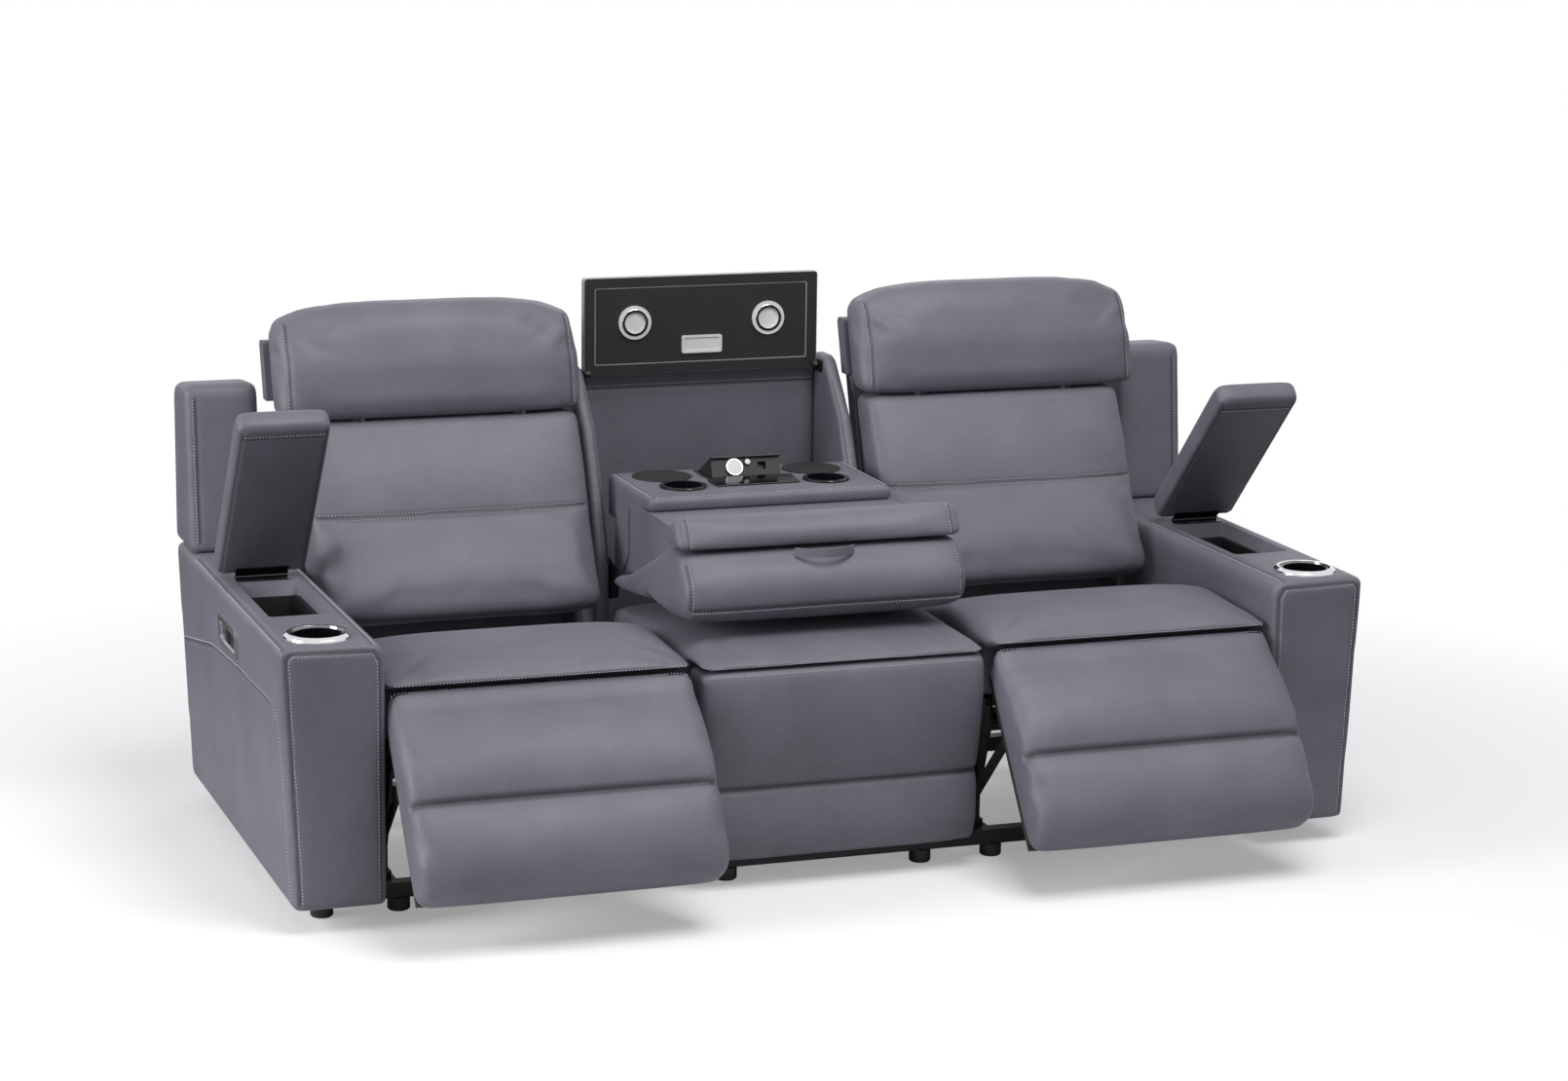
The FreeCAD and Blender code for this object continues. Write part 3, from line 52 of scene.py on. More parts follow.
# Lengths below are in millimetres, and setbacks are distances behind the plane of the
# arm fronts, as the model is measured. They are turned into metres where a mesh is made.
MM = 0.001
FRONT_Y = -393.5
HALF_WIDTH = 1120.0
ARM_WIDTH = 204.0
ARM_INNER = HALF_WIDTH - ARM_WIDTH
ARM_TOP = 556.0
ARM_LEAN = 24.0
ARM_BOTTOM = 45.0
SEAT_X = (313.0, 912.0)
BACK_X = (320.5, 908.5)
HEADREST_X = (311.0, 950.0)
HINGE = (22.0, 434.0)
FOOTREST_ANGLE = 36.5
LID_HINGE = (601.0, 561.0)
LID_ANGLES = {"left": 53.0, "right": 46.0}
OUTLET_HINGE = (709.0, 697.0)
OUTLET_ANGLE = 28.0
BACK_LEAN = math.radians(17.0)
BACK_POINT = (853.0, 835.0)
FOOTREST_CREASE = 226.0
FRONT_CREASE_Z = 203.0
SIDES = {"left": -1, "right": 1}

# Filling and sewing: simulated frames, the seams' step in mm, and how far outside a cover the
# search for a seam's place starts and how deep it goes, in metres.
CLOTH_FRAMES = 20
SEAM_STEP = 4.0
SEARCH_FROM = 0.08
SEARCH_DEPTH = 0.2

# The stage, in metres, watts and degrees. The camera's angles are yaw, pitch and roll.
PHOTO_WIDTH = 1610
FOCAL_PIXELS = 3792.3
CAMERA_ANGLES = (19.77, 11.93, 0.77)
CAMERA_PLACE = (-2.4755, -6.8991, 2.1638)
FLOOR_HALF = 60000.0
FLOOR_FADE = (1.45, 2.6)
LAMPS = (
    ("overhead", (0.4, -1.7, 3.8), (0, 0, 0.4), 2.2, 96.0),
    ("side", (-5.0, -0.7, 2.0), (0, 0, 0.4), 2.2, 158.0),
    ("rear", (1.5, 4.0, 3.0), (0, 0, 0.6), 2.5, 18.0),
)


class SofaSizes(bpy.types.PropertyGroup):
    """Sizes of the upholstery work that a user would change."""

    voxel: FloatProperty(
        name="Remesh size", description="Edge length of the cushion mesh before its subdivision",
        default=0.0095, min=0.004, max=0.03, unit="LENGTH")
    pressure: FloatProperty(
        name="Filling pressure", description="How hard the filling presses the covers out",
        default=4.0, min=0.0, max=20.0)
    swell_limit: FloatProperty(
        name="Swell limit", description="Furthest that a point of a cover may move when it is filled",
        default=0.009, min=0.0, max=0.03, unit="LENGTH")
    stitch_length: FloatProperty(
        name="Stitch length", description="Length of one visible stitch",
        default=0.0042, min=0.001, max=0.01, unit="LENGTH")
    stitch_pitch: FloatProperty(
        name="Stitch pitch", description="Distance from one stitch to the next",
        default=0.0066, min=0.002, max=0.02, unit="LENGTH")
    thread: FloatProperty(
        name="Thread thickness", description="Thickness of the sewing thread",
        default=0.0024, min=0.0003, max=0.005, unit="LENGTH")


class SofaColours(bpy.types.PropertyGroup):
    """Colours of the covers and trims."""

    cover: FloatVectorProperty(
        name="Cover", description="Slate-grey suede cover", subtype="COLOR",
        default=(0.158, 0.151, 0.186), min=0.0, max=1.0)
    stitching: FloatVectorProperty(
        name="Stitching", description="Pale lilac-grey thread", subtype="COLOR",
        default=(0.60, 0.58, 0.66), min=0.0, max=1.0)
    black: FloatVectorProperty(
        name="Black trim", description="Black plastic and powder coat", subtype="COLOR",
        default=(0.012, 0.012, 0.014), min=0.0, max=1.0)


def rounded(corners, arc=6, side=12):
    """Closed outlines through corners (u, v, radius), for one or more stations at once.
    Each corner is a circle's arc as a rational quadratic between its tangent points, with
    the sine of half the corner's angle as its middle weight. Straight runs join the arcs."""
    corners = np.asarray(corners, float)
    p, radius = corners[..., :2], corners[..., 2]
    before, after = np.roll(p, 1, -2) - p, np.roll(p, -1, -2) - p
    length0 = np.linalg.norm(before, axis=-1)
    length1 = np.linalg.norm(after, axis=-1)
    before, after = before / length0[..., None], after / length1[..., None]
    half = np.arccos(np.clip((before * after).sum(-1), -1, 1)) / 2
    run = radius / np.maximum(np.tan(half), 1e-6)
    run = np.minimum(run, 0.47 * np.minimum(length0, length1))[..., None]
    start, end = p + before * run, p + after * run
    t = np.linspace(0, 1, arc)[:, None]
    weight = np.sin(half)[..., None, None]
    a, b, c = (1 - t) ** 2, 2 * t * (1 - t) * weight, t ** 2
    curve = (a * start[..., None, :] + b * p[..., None, :] + c * end[..., None, :]) / (a + b + c)
    step = np.linspace(0, 1, side + 1, endpoint=False)[1:, None]
    follow = np.roll(start, -1, -2)
    line = end[..., None, :] * (1 - step) + follow[..., None, :] * step
    whole = np.concatenate([curve, line], axis=-2)
    return whole.reshape(*whole.shape[:-3], -1, 2)


def tube(outlines, place):
    """A closed skin: outlines (stations, points, 2) carried along a path, the first and last
    closed by flat faces. place gives (stations, points, 3) from the outlines."""
    points = place(outlines)
    stations, count = points.shape[:2]
    i, j = np.meshgrid(np.arange(stations - 1), np.arange(count), indexing="ij")
    k = (j + 1) % count
    quads = np.stack([i * count + j, (i + 1) * count + j, (i + 1) * count + k, i * count + k], -1)
    faces = [list(q) for q in quads.reshape(-1, 4).tolist()]
    faces.append(list(range(count)))
    faces.append(list(range(stations * count - 1, (stations - 1) * count - 1, -1)))
    return points.reshape(-1, 3), faces


def drawn_in(outlines, inset):
    """Each outline moved inwards along its own normals by its station's inset."""
    ahead = np.roll(outlines, -1, 1) - np.roll(outlines, 1, 1)
    ahead /= np.maximum(np.linalg.norm(ahead, axis=-1, keepdims=True), 1e-9)
    area = (outlines[..., 0] * np.roll(outlines[..., 1], -1, 1)
            - np.roll(outlines[..., 0], -1, 1) * outlines[..., 1]).sum(1)
    turn = np.sign(area)[:, None, None]
    inward = np.stack([-ahead[..., 1], ahead[..., 0]], -1) * turn
    return outlines + inward * inset[:, None, None]


def stations(edge, count=26):
    """Places along a run from 0 to 1, and how far the outline is drawn in at each: a quarter
    circle of the edge's radius (as a share of the run) at both ends."""
    bend = edge * (1 - np.cos(np.linspace(0, math.pi / 2, 6)))
    middle = np.linspace(edge, 1 - edge, count)[1:-1]
    where = np.concatenate([bend, middle, 1 - bend[::-1]])
    near = np.minimum(where, 1 - where)
    drop = 1 - np.sqrt(np.clip(1 - ((edge - np.minimum(near, edge)) / edge) ** 2, 0, 1))
    return where, drop


def across(x0, x1, corners, radius, power=6.0):
    """A cushion carried along X. Corners are (end s, end z, middle s, middle z, radius). They
    pass from the end to the middle as 1 - |2t - 1| ** power, so that the middle is crowned."""
    corners = np.asarray(corners, float)
    t, drop = stations(radius / (x1 - x0))
    crown = (1 - np.abs(2 * t - 1) ** power)[:, None, None]
    ends = corners[None, :, :2]
    uv = ends + (corners[None, :, 2:4] - ends) * crown
    rounds = np.broadcast_to(corners[None, :, 4:5], (len(t), len(corners), 1))
    outlines = drawn_in(rounded(np.concatenate([uv, rounds], -1)), drop * radius)
    x = np.broadcast_to((x0 + (x1 - x0) * t)[:, None, None], outlines.shape[:2] + (1,))
    return tube(outlines, lambda o: np.concatenate([x, o[..., :1] + FRONT_Y, o[..., 1:]], -1))


def straight(corners):
    """Corners for across with the same outline at the ends and in the middle."""
    return [(s, z, s, z, radius) for s, z, radius in corners]


def along(s0, s1, corners, radius):
    """A solid carried along Y: one outline (x, z, radius), drawn in at both ends."""
    t, drop = stations(radius / (s1 - s0), 40)
    base = rounded(np.asarray(corners, float), 8, 16)
    outlines = drawn_in(np.broadcast_to(base, (len(t),) + base.shape).copy(), drop * radius)
    y = np.broadcast_to((FRONT_Y + s0 + (s1 - s0) * t)[:, None, None], outlines.shape[:2] + (1,))
    return tube(outlines, lambda o: np.concatenate([o[..., :1], y, o[..., 1:]], -1))


def turned(points, hinge, degrees):
    """Points turned about an axis along X through hinge (setback, z), front end up."""
    a = math.radians(degrees)
    y, z = points[:, 1] - FRONT_Y - hinge[0], points[:, 2] - hinge[1]
    out = points.copy()
    out[:, 1] = FRONT_Y + hinge[0] + y * math.cos(a) + z * math.sin(a)
    out[:, 2] = hinge[1] - y * math.sin(a) + z * math.cos(a)
    return out


def mesh_object(name, points, faces, outward=True):
    """An object from points in mm, its faces turned outwards unless it is an open sheet."""
    mesh = bpy.data.meshes.new(name)
    mesh.from_pydata((np.asarray(points, float) * MM).tolist(), [], faces)
    mesh.validate()
    obj = bpy.data.objects.new(name, mesh)
    bpy.context.scene.collection.objects.link(obj)
    if outward:
        face_out(obj)
    return obj


def face_out(obj):
    """Turn a closed mesh's faces outwards, by the sign of its volume."""
    bm = bmesh.new()
    bm.from_mesh(obj.data)
    bmesh.ops.remove_doubles(bm, verts=bm.verts, dist=1e-6)
    bmesh.ops.recalc_face_normals(bm, faces=bm.faces)
    if bm.calc_volume(signed=True) < 0:
        bmesh.ops.reverse_faces(bm, faces=bm.faces)
    bm.to_mesh(obj.data)
    bm.free()


def coordinates(mesh):
    co = np.empty(len(mesh.vertices) * 3)
    mesh.vertices.foreach_get("co", co)
    return co.reshape(-1, 3)


def set_coordinates(mesh, co):
    mesh.vertices.foreach_set("co", co.ravel())
    mesh.update()


def turn_object(obj, hinge, degrees):
    """Turn a finished mesh about an axis along X, as turned does."""
    set_coordinates(obj.data, turned(coordinates(obj.data) / MM, hinge, degrees) * MM)


def baked(obj):
    """Replace the object's mesh by its mesh with all modifiers applied."""
    graph = bpy.context.evaluated_depsgraph_get()
    mesh = bpy.data.meshes.new_from_object(obj.evaluated_get(graph))
    obj.modifiers.clear()
    old = obj.data
    obj.data = mesh
    mesh.name = obj.name
    bpy.data.meshes.remove(old)


def remesh(obj, voxel):
    """An even mesh of the object's shape, with its steps smoothed."""
    step = obj.modifiers.new("Remesh", "REMESH")
    step.mode = "VOXEL"
    step.voxel_size = voxel
    baked(obj)
    soften = obj.modifiers.new("Smooth", "SMOOTH")
    soften.factor = 0.5
    soften.iterations = 3
    baked(obj)


def subdivide(obj):
    step = obj.modifiers.new("Subdivision", "SUBSURF")
    step.levels = step.render_levels = 1
    baked(obj)


def cut(obj, *tools):
    """Take closed tool shapes out of the object, and remove the tools."""
    for tool in tools:
        step = obj.modifiers.new("Cut", "BOOLEAN")
        step.operation = "DIFFERENCE"
        step.solver = "EXACT"
        step.object = tool
        baked(obj)
        bpy.data.objects.remove(tool)


PADS = []


class Pad:
    """A cover in the making: its object, body, the nodes it stands for, seams and held parts."""

    def __init__(self, name, shape, body, nodes, held=None, fill=0.8, voxel=None, turn=None, about=None):
        self.name, self.body, self.nodes = name, body, nodes
        self.held, self.fill, self.turn, self.about = held, fill, turn, about or HINGE
        self.seams, self.cutters = [], []
        self.obj = mesh_object(name, *shape)
        remesh(self.obj, voxel or bpy.context.scene.sofa_sizes.voxel)
        PADS.append(self)

    def seam(self, points, outward, depth=2.5, width=6.0, rows=(4.5,)):
        """A sewn line: points (n, 3) in mm near the surface, the way out of it, how deep and
        wide the cover is drawn in, and where rows of stitches lie beside the line, in mm."""
        self.seams.append((np.asarray(points, float), np.asarray(outward, float), depth, width, rows))


def fill_covers(pads):
    """Press every cover out at once with cloth and an inner pressure, its held points fixed."""
    scene = bpy.context.scene
    sizes = scene.sofa_sizes
    before = {}
    for pad in pads:
        co = coordinates(pad.obj.data)
        before[pad.name] = co
        group = pad.obj.vertex_groups.new(name="held")
        fixed = np.nonzero(pad.held(co / MM))[0]
        group.add(fixed.tolist(), 1.0, "REPLACE")
        cloth = pad.obj.modifiers.new("Cover", "CLOTH")
        cloth.settings.vertex_group_mass = "held"
        cloth.settings.mass = 0.4
        cloth.settings.quality = 4
        cloth.settings.tension_stiffness = cloth.settings.compression_stiffness = 12
        cloth.settings.bending_stiffness = 0.6
        cloth.settings.use_pressure = True
        cloth.settings.uniform_pressure_force = sizes.pressure
        cloth.settings.effector_weights.gravity = 0
        cloth.point_cache.frame_start = 1
        cloth.point_cache.frame_end = CLOTH_FRAMES
    for step in range(1, CLOTH_FRAMES + 1):
        scene.frame_set(step)
    graph = bpy.context.evaluated_depsgraph_get()
    moved = {pad.name: coordinates(pad.obj.evaluated_get(graph).data).copy() for pad in pads}
    for pad in pads:
        pad.obj.modifiers.clear()
        pad.obj.vertex_groups.clear()
        delta = moved[pad.name] - before[pad.name]
        length = np.linalg.norm(delta, axis=1, keepdims=True)
        delta *= np.minimum(1, sizes.swell_limit / np.maximum(length, 1e-9))
        set_coordinates(pad.obj.data, before[pad.name] + delta)
    scene.frame_set(1)


def search_tree(obj):
    """A tree for finding places on the object's surface."""
    return BVHTree.FromPolygons([v.co for v in obj.data.vertices], [p.vertices for p in obj.data.polygons])


def landed(tree, points, outward):
    """Where a path's points lie on the cover, found by looking in from outside it."""
    way = Vector(outward).normalized()
    hits = [tree.ray_cast(Vector(p) + way * SEARCH_FROM, -way, SEARCH_DEPTH)[0] for p in points * MM]
    return np.array([hit for hit in hits if hit is not None])


def even(points, pitch):
    """A path resampled at an even pitch along its length."""
    step = np.linalg.norm(np.diff(points, axis=0), axis=1)
    run = np.concatenate([[0], np.cumsum(step)])
    marks = np.arange(pitch / 2, run[-1], pitch)
    return np.stack([np.interp(marks, run, points[:, k]) for k in range(3)], 1)


def draw_seam(obj, line, depth, width):
    """Draw the cover in along a line, as depth * exp(-(distance / width) ** 2), and note the
    nearness in the seam attribute, which the cover's material darkens as painted shade in the groove."""
    mesh = obj.data
    co = coordinates(mesh)
    normals = np.empty(len(mesh.vertices) * 3)
    mesh.vertices.foreach_get("normal", normals)
    normals = normals.reshape(-1, 3)
    lo, hi = line.min(0) - 0.03, line.max(0) + 0.03
    near = np.nonzero(((co > lo) & (co < hi)).all(1))[0]
    fine = even(line, 0.002)
    distance = np.full(len(near), 1.0)
    for start in range(0, len(fine), 200):
        gap = np.linalg.norm(co[near][:, None] - fine[None, start:start + 200], axis=2)
        distance = np.minimum(distance, gap.min(1))
    share = np.exp(-(distance / (width * MM)) ** 2)
    co[near] -= normals[near] * (share * depth * MM)[:, None]
    # The seam attribute carries painted shade: the cover's material darkens where it is high.
    layer = mesh.attributes.get("seam") or mesh.attributes.new("seam", "FLOAT", "POINT")
    value = np.zeros(len(mesh.vertices))
    layer.data.foreach_get("value", value)
    value[near] = np.maximum(value[near], share)
    layer.data.foreach_set("value", value)
    set_coordinates(mesh, co)


def stitch_mesh(name, runs):
    """Stitches as long eight-sided beads: six points each, along, beside and above the line."""
    sizes = bpy.context.scene.sofa_sizes
    spots, ahead, up = (np.concatenate([r[k] for r in runs]) for k in range(3))
    beside = np.cross(ahead, up)
    half, thick = sizes.stitch_length / 2, sizes.thread / 2
    corners = np.stack([
        spots + ahead * half, spots - ahead * half, spots + beside * thick,
        spots - beside * thick, spots + up * thick * 1.3, spots - up * thick], 1)
    bead = np.array([[0, 2, 4], [2, 1, 4], [1, 3, 4], [3, 0, 4], [2, 0, 5], [1, 2, 5], [3, 1, 5], [0, 3, 5]])
    faces = (bead[None] + np.arange(len(spots))[:, None, None] * 6).reshape(-1, 3)
    return mesh_object(name, corners.reshape(-1, 3) / MM, faces.tolist())


def sew(pad):
    """Draw in each seam of a cover, then lay its rows of stitches on the finished surface."""
    sizes = bpy.context.scene.sofa_sizes
    lines = []
    for points, outward, depth, width, rows in pad.seams:
        tree = search_tree(pad.obj)
        line = landed(tree, even(points, SEAM_STEP), outward)
        if len(line) < 3:
            raise RuntimeError(f"{pad.name}: a seam misses the cover")
        lines.append((line, rows))
        if depth:
            draw_seam(pad.obj, line, depth, width)
    tree = search_tree(pad.obj)
    runs = []
    for line, rows in lines:
        marks = even(line, sizes.stitch_pitch)
        if len(marks) < 3:
            continue
        ahead = np.gradient(marks, axis=0)
        ahead /= np.maximum(np.linalg.norm(ahead, axis=1, keepdims=True), 1e-9)
        _, first = nearest(tree, marks)
        for row in rows:
            beside = np.cross(ahead, first)
            spots, up = nearest(tree, marks + beside * row * MM)
            runs.append((spots + up * sizes.thread * 0.25, ahead, up))
    if not runs:
        return None
    return stitch_mesh(pad.name + "_stitches", runs)


def nearest(tree, points):
    """The nearest places on a surface, and the way out of it there."""
    found = [tree.find_nearest(Vector(p))[:2] for p in points]
    return np.array([f[0] for f in found]), np.array([f[1] for f in found])


def settle(obj, body, material, nodes=()):
    """Give a finished piece its material and body, and hide the nodes it stands for."""
    obj.data.materials.clear()
    obj.data.materials.append(material)
    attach(obj, body)
    if nodes:
        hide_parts(*nodes)
    return obj


def shader(name, colour, roughness, metallic=0.0, **sockets):
    material = bpy.data.materials.get(name)
    if material:
        return material, None, None
    material = bpy.data.materials.new(name)
    material.use_nodes = True
    tree = material.node_tree
    main = tree.nodes["Principled BSDF"]
    main.inputs["Base Color"].default_value = (*colour, 1)
    main.inputs["Roughness"].default_value = roughness
    main.inputs["Metallic"].default_value = metallic
    for key, value in sockets.items():
        main.inputs[key.replace("_", " ")].default_value = value
    return material, tree, main


def noise(tree, scale, detail=3.0, rough=0.55):
    where = tree.nodes.new("ShaderNodeTexCoord")
    node = tree.nodes.new("ShaderNodeTexNoise")
    node.inputs["Scale"].default_value = scale
    node.inputs["Detail"].default_value = detail
    node.inputs["Roughness"].default_value = rough
    tree.links.new(where.outputs["Object"], node.inputs["Vector"])
    return node.outputs["Fac"]


def tinted(tree, factor, low, high, dark, light):
    """A colour between dark and light, as a pattern passes from low to high."""
    ramp = tree.nodes.new("ShaderNodeValToRGB")
    ramp.color_ramp.elements[0].position = low
    ramp.color_ramp.elements[1].position = high
    ramp.color_ramp.elements[0].color = (*dark, 1)
    ramp.color_ramp.elements[1].color = (*light, 1)
    tree.links.new(factor, ramp.inputs["Fac"])
    return ramp.outputs["Color"]


def multiply(tree, a, b, factor=1.0):
    mix = tree.nodes.new("ShaderNodeMix")
    mix.data_type = "RGBA"
    mix.blend_type = "MULTIPLY"
    mix.inputs[0].default_value = factor
    tree.links.new(a, mix.inputs[6])
    tree.links.new(b, mix.inputs[7])
    return mix.outputs[2]


def bumped(tree, main, heights):
    """Bump from several patterns, each (height, strength, distance in metres)."""
    last = None
    for height, strength, distance in heights:
        bump = tree.nodes.new("ShaderNodeBump")
        bump.inputs["Strength"].default_value = strength
        bump.inputs["Distance"].default_value = distance
        tree.links.new(height, bump.inputs["Height"])
        if last:
            tree.links.new(last, bump.inputs["Normal"])
        last = bump.outputs["Normal"]
    tree.links.new(last, main.inputs["Normal"])


def suede():
    """The slate-grey cover: brushed patches, a fine nap, and painted shade along the sewn lines."""
    base = np.array(bpy.context.scene.sofa_colours.cover)
    material, tree, main = shader("slate_suede", base, 0.56, Sheen_Weight=0.10, Sheen_Roughness=0.4)
    if tree is None:
        return material
    main.inputs["Sheen Tint"].default_value = (0.62, 0.60, 0.72, 1)
    main.inputs["Specular IOR Level"].default_value = 0.6
    patches = tinted(tree, noise(tree, 7.0, 4.0, 0.6), 0.32, 0.70, base * 0.88, base * 1.12)
    grain = tinted(tree, noise(tree, 420.0, 2.0, 0.6), 0.30, 0.72, (0.80,) * 3, (1.0,) * 3)
    # Painted shade: along the sewn grooves the cover's colour is darkened to as little as 0.36 of itself.
    seam = tree.nodes.new("ShaderNodeAttribute")
    seam.attribute_name = "seam"
    shade = tinted(tree, seam.outputs["Fac"], 0.30, 1.0, (1.0,) * 3, (0.36,) * 3)
    colour = multiply(tree, multiply(tree, patches, grain), shade)
    tree.links.new(colour, main.inputs["Base Color"])
    bumped(tree, main, [(noise(tree, 30.0, 2.0, 0.5), 0.25, 0.0012),
                        (noise(tree, 620.0, 3.0, 0.65), 0.35, 0.0004)])
    return material


def thread():
    base = np.array(bpy.context.scene.sofa_colours.stitching)
    material, tree, main = shader("lilac_thread", base, 0.6, Sheen_Weight=0.2)
    if tree is None:
        return material
    tree.links.new(tinted(tree, noise(tree, 900.0), 0.3, 0.7, base * 0.75, base * 1.15),
                   main.inputs["Base Color"])
    return material


def trim(name, colour, roughness, metallic=0.0, grain=500.0, depth=0.0002, spread=0.15, **sockets):
    """A hard finish with a fine grain in its colour, roughness and surface."""
    colour = np.array(colour)
    material, tree, main = shader(name, colour, roughness, metallic, **sockets)
    if tree is None:
        return material
    pattern = noise(tree, grain, 3.0)
    tree.links.new(tinted(tree, noise(tree, 14.0, 3.0), 0.3, 0.7, colour * (1 - spread),
                          np.minimum(colour * (1 + spread), 1.0)), main.inputs["Base Color"])
    scaled = tree.nodes.new("ShaderNodeMapRange")
    scaled.inputs["To Min"].default_value = roughness * 0.85
    scaled.inputs["To Max"].default_value = min(1.0, roughness * 1.2)
    tree.links.new(pattern, scaled.inputs["Value"])
    tree.links.new(scaled.outputs["Result"], main.inputs["Roughness"])
    bumped(tree, main, [(pattern, 0.3, depth)])
    return material


def polished_trim():
    return trim("polished_trim", (0.72, 0.73, 0.75), 0.14, 1.0, 120.0, 0.00002, 0.04)


def polished_black():
    return trim("polished_black", (0.006, 0.006, 0.008), 0.12, 0.0, 200.0, 0.00003)


def wood():
    """Stained plywood: noise stretched along X into rings."""
    material, tree, main = shader("stained_ply", (0.03, 0.027, 0.025), 0.6)
    if tree is None:
        return material
    where = tree.nodes.new("ShaderNodeTexCoord")
    stretch = tree.nodes.new("ShaderNodeMapping")
    stretch.inputs["Scale"].default_value = (4.0, 60.0, 60.0)
    rings = tree.nodes.new("ShaderNodeTexNoise")
    rings.inputs["Scale"].default_value = 3.0
    tree.links.new(where.outputs["Object"], stretch.inputs["Vector"])
    tree.links.new(stretch.outputs["Vector"], rings.inputs["Vector"])
    tree.links.new(tinted(tree, rings.outputs["Fac"], 0.35, 0.65, (0.02, 0.018, 0.017), (0.05, 0.045, 0.04)),
                   main.inputs["Base Color"])
    bumped(tree, main, [(rings.outputs["Fac"], 0.2, 0.0003)])
    return material


class Work:
    """Common ground of the sofa's operators: an error in make stops the operator."""

    bl_options = {"REGISTER"}

    def execute(self, context):
        self.make(context)
        return {"FINISHED"}


def on_side(sign, shape):
    """The right side's shape, or its mirror image for the left."""
    points, faces = shape
    if sign < 0:
        points = points * np.array([-1.0, 1.0, 1.0])
        faces = [f[::-1] for f in faces]
    return points, faces


def row_x(x0, x1, s, z, sign=1, count=40):
    """A line along X at one setback and height, or at those of each point."""
    x = np.linspace(x0, x1, count) * sign
    return np.stack([x, FRONT_Y + np.broadcast_to(s, count), np.broadcast_to(z, count)], 1)


def path(points, sign=1):
    """A line through points (x, setback, z)."""
    points = np.array(points, float)
    points[:, 0] *= sign
    points[:, 1] += FRONT_Y
    return points


class SOFA_OT_seats(Work, bpy.types.Operator):
    """Seat cushions of both recliners, with a double-sewn front edge."""

    bl_idname = "sofa.seats"
    bl_label = "Seat Cushions"

    def make(self, context):
        corners = [
            (12, 461, 6, 461, 5), (11, 471, 3, 474, 10), (58, 480, 57, 487, 60),
            (290, 484, 290, 495, 300), (486, 438, 490, 442, 50), (492, 334, 499, 334, 12),
            (98, 334, 95, 334, 12), (98, 441, 95, 441, 20), (54, 441, 54, 441, 10), (46, 461, 46, 461, 10),
        ]
        for side, sign in SIDES.items():
            pad = Pad(f"{side}_seat_cover", on_side(sign, across(*SEAT_X, corners, 12.0)),
                      f"{side}_recliner", [f"{side}_seat_cushion"],
                      held=lambda co: (co[:, 2] < 466) | (co[:, 1] > FRONT_Y + 480), fill=0.7)
            pad.seam(row_x(SEAT_X[0] + 6, SEAT_X[1] - 6, 6.0, 468.0, sign), (0, -1, 0.25), 0, 0, (0.0,))


class SOFA_OT_footrests(Work, bpy.types.Operator):
    """Footrest pads with a sewn crease, in their part-open place."""

    bl_idname = "sofa.footrests"
    bl_label = "Footrest Pads"

    def make(self, context):
        shape = [
            (-18, 25, -21, 23, 20), (-21, 0, -21, -1, 20), (-10, -21, -10, -21, 12), (6, -19, 6, -19, 12),
            (24, 4, 24, 4, 10), (49, 4, 49, 4, 4), (49, 395, 49, 399, 12), (-22, 395, -27, 399, 22),
            (-48, 350, -58, 350, 50), (-55, 270, -68, 268, 30), (-54, 237, -59, 236, 9),
            (-42, 226, -44, 226, 3), (-54, 215, -59, 216, 9), (-58, 176, -70, 176, 40),
            (-43, 92, -58, 92, 80),
        ]
        corners = [(HINGE[0] + a, HINGE[1] - b, HINGE[0] + c, HINGE[1] - d, r) for a, b, c, d, r in shape]
        crease = HINGE[1] - FOOTREST_CREASE
        for side, sign in SIDES.items():
            points, faces = on_side(sign, across(*SEAT_X, corners, 14.0))
            pad = Pad(f"{side}_footrest_cover", (points, faces), f"{side}_footrest",
                      [f"{side}_footrest_pad"], fill=0.85, turn=FOOTREST_ANGLE,
                      held=lambda co: (co[:, 1] > FRONT_Y + HINGE[0] + 30)
                      | (np.abs(co[:, 2] - crease) < 9) | (co[:, 2] > HINGE[1] - 30))
            pad.seam(row_x(SEAT_X[0] + 1, SEAT_X[1] - 1, HINGE[0], crease, sign), (0, -1, 0), 9.0, 6.0, ())
            pad.seam(row_x(SEAT_X[0] + 6, SEAT_X[1] - 6, 8.0, 450.0, sign), (0, -1, 0.9), 0, 0, (0.0,))
            for hinge_x in (345.0, 884.0):
                x0, x1 = sorted((sign * (hinge_x - 13), sign * (hinge_x + 18)))
                pad.cutters.append(box(x0, x1, 8, 96, 308, 462))


def box(x0, x1, s0, s1, z0, z1):
    """A square tool: one outline in setback and z, carried straight along X."""
    corners = [(s0, z0, 1), (s1, z0, 1), (s1, z1, 1), (s0, z1, 1)]
    outline = np.array([rounded(np.array(corners, float), 3, 2)] * 2)
    x = np.array([x0, x1])[:, None, None] + np.zeros(outline.shape[:2] + (1,))
    return tube(outline, lambda o: np.concatenate([x, o[..., :1] + FRONT_Y, o[..., 1:]], -1))


def shell(z, offset=0.0):
    """Setback of the back shell's leaning plane at a height, moved out square to the plane."""
    return BACK_POINT[0] + (z - BACK_POINT[1]) * math.tan(BACK_LEAN) + offset / math.cos(BACK_LEAN)


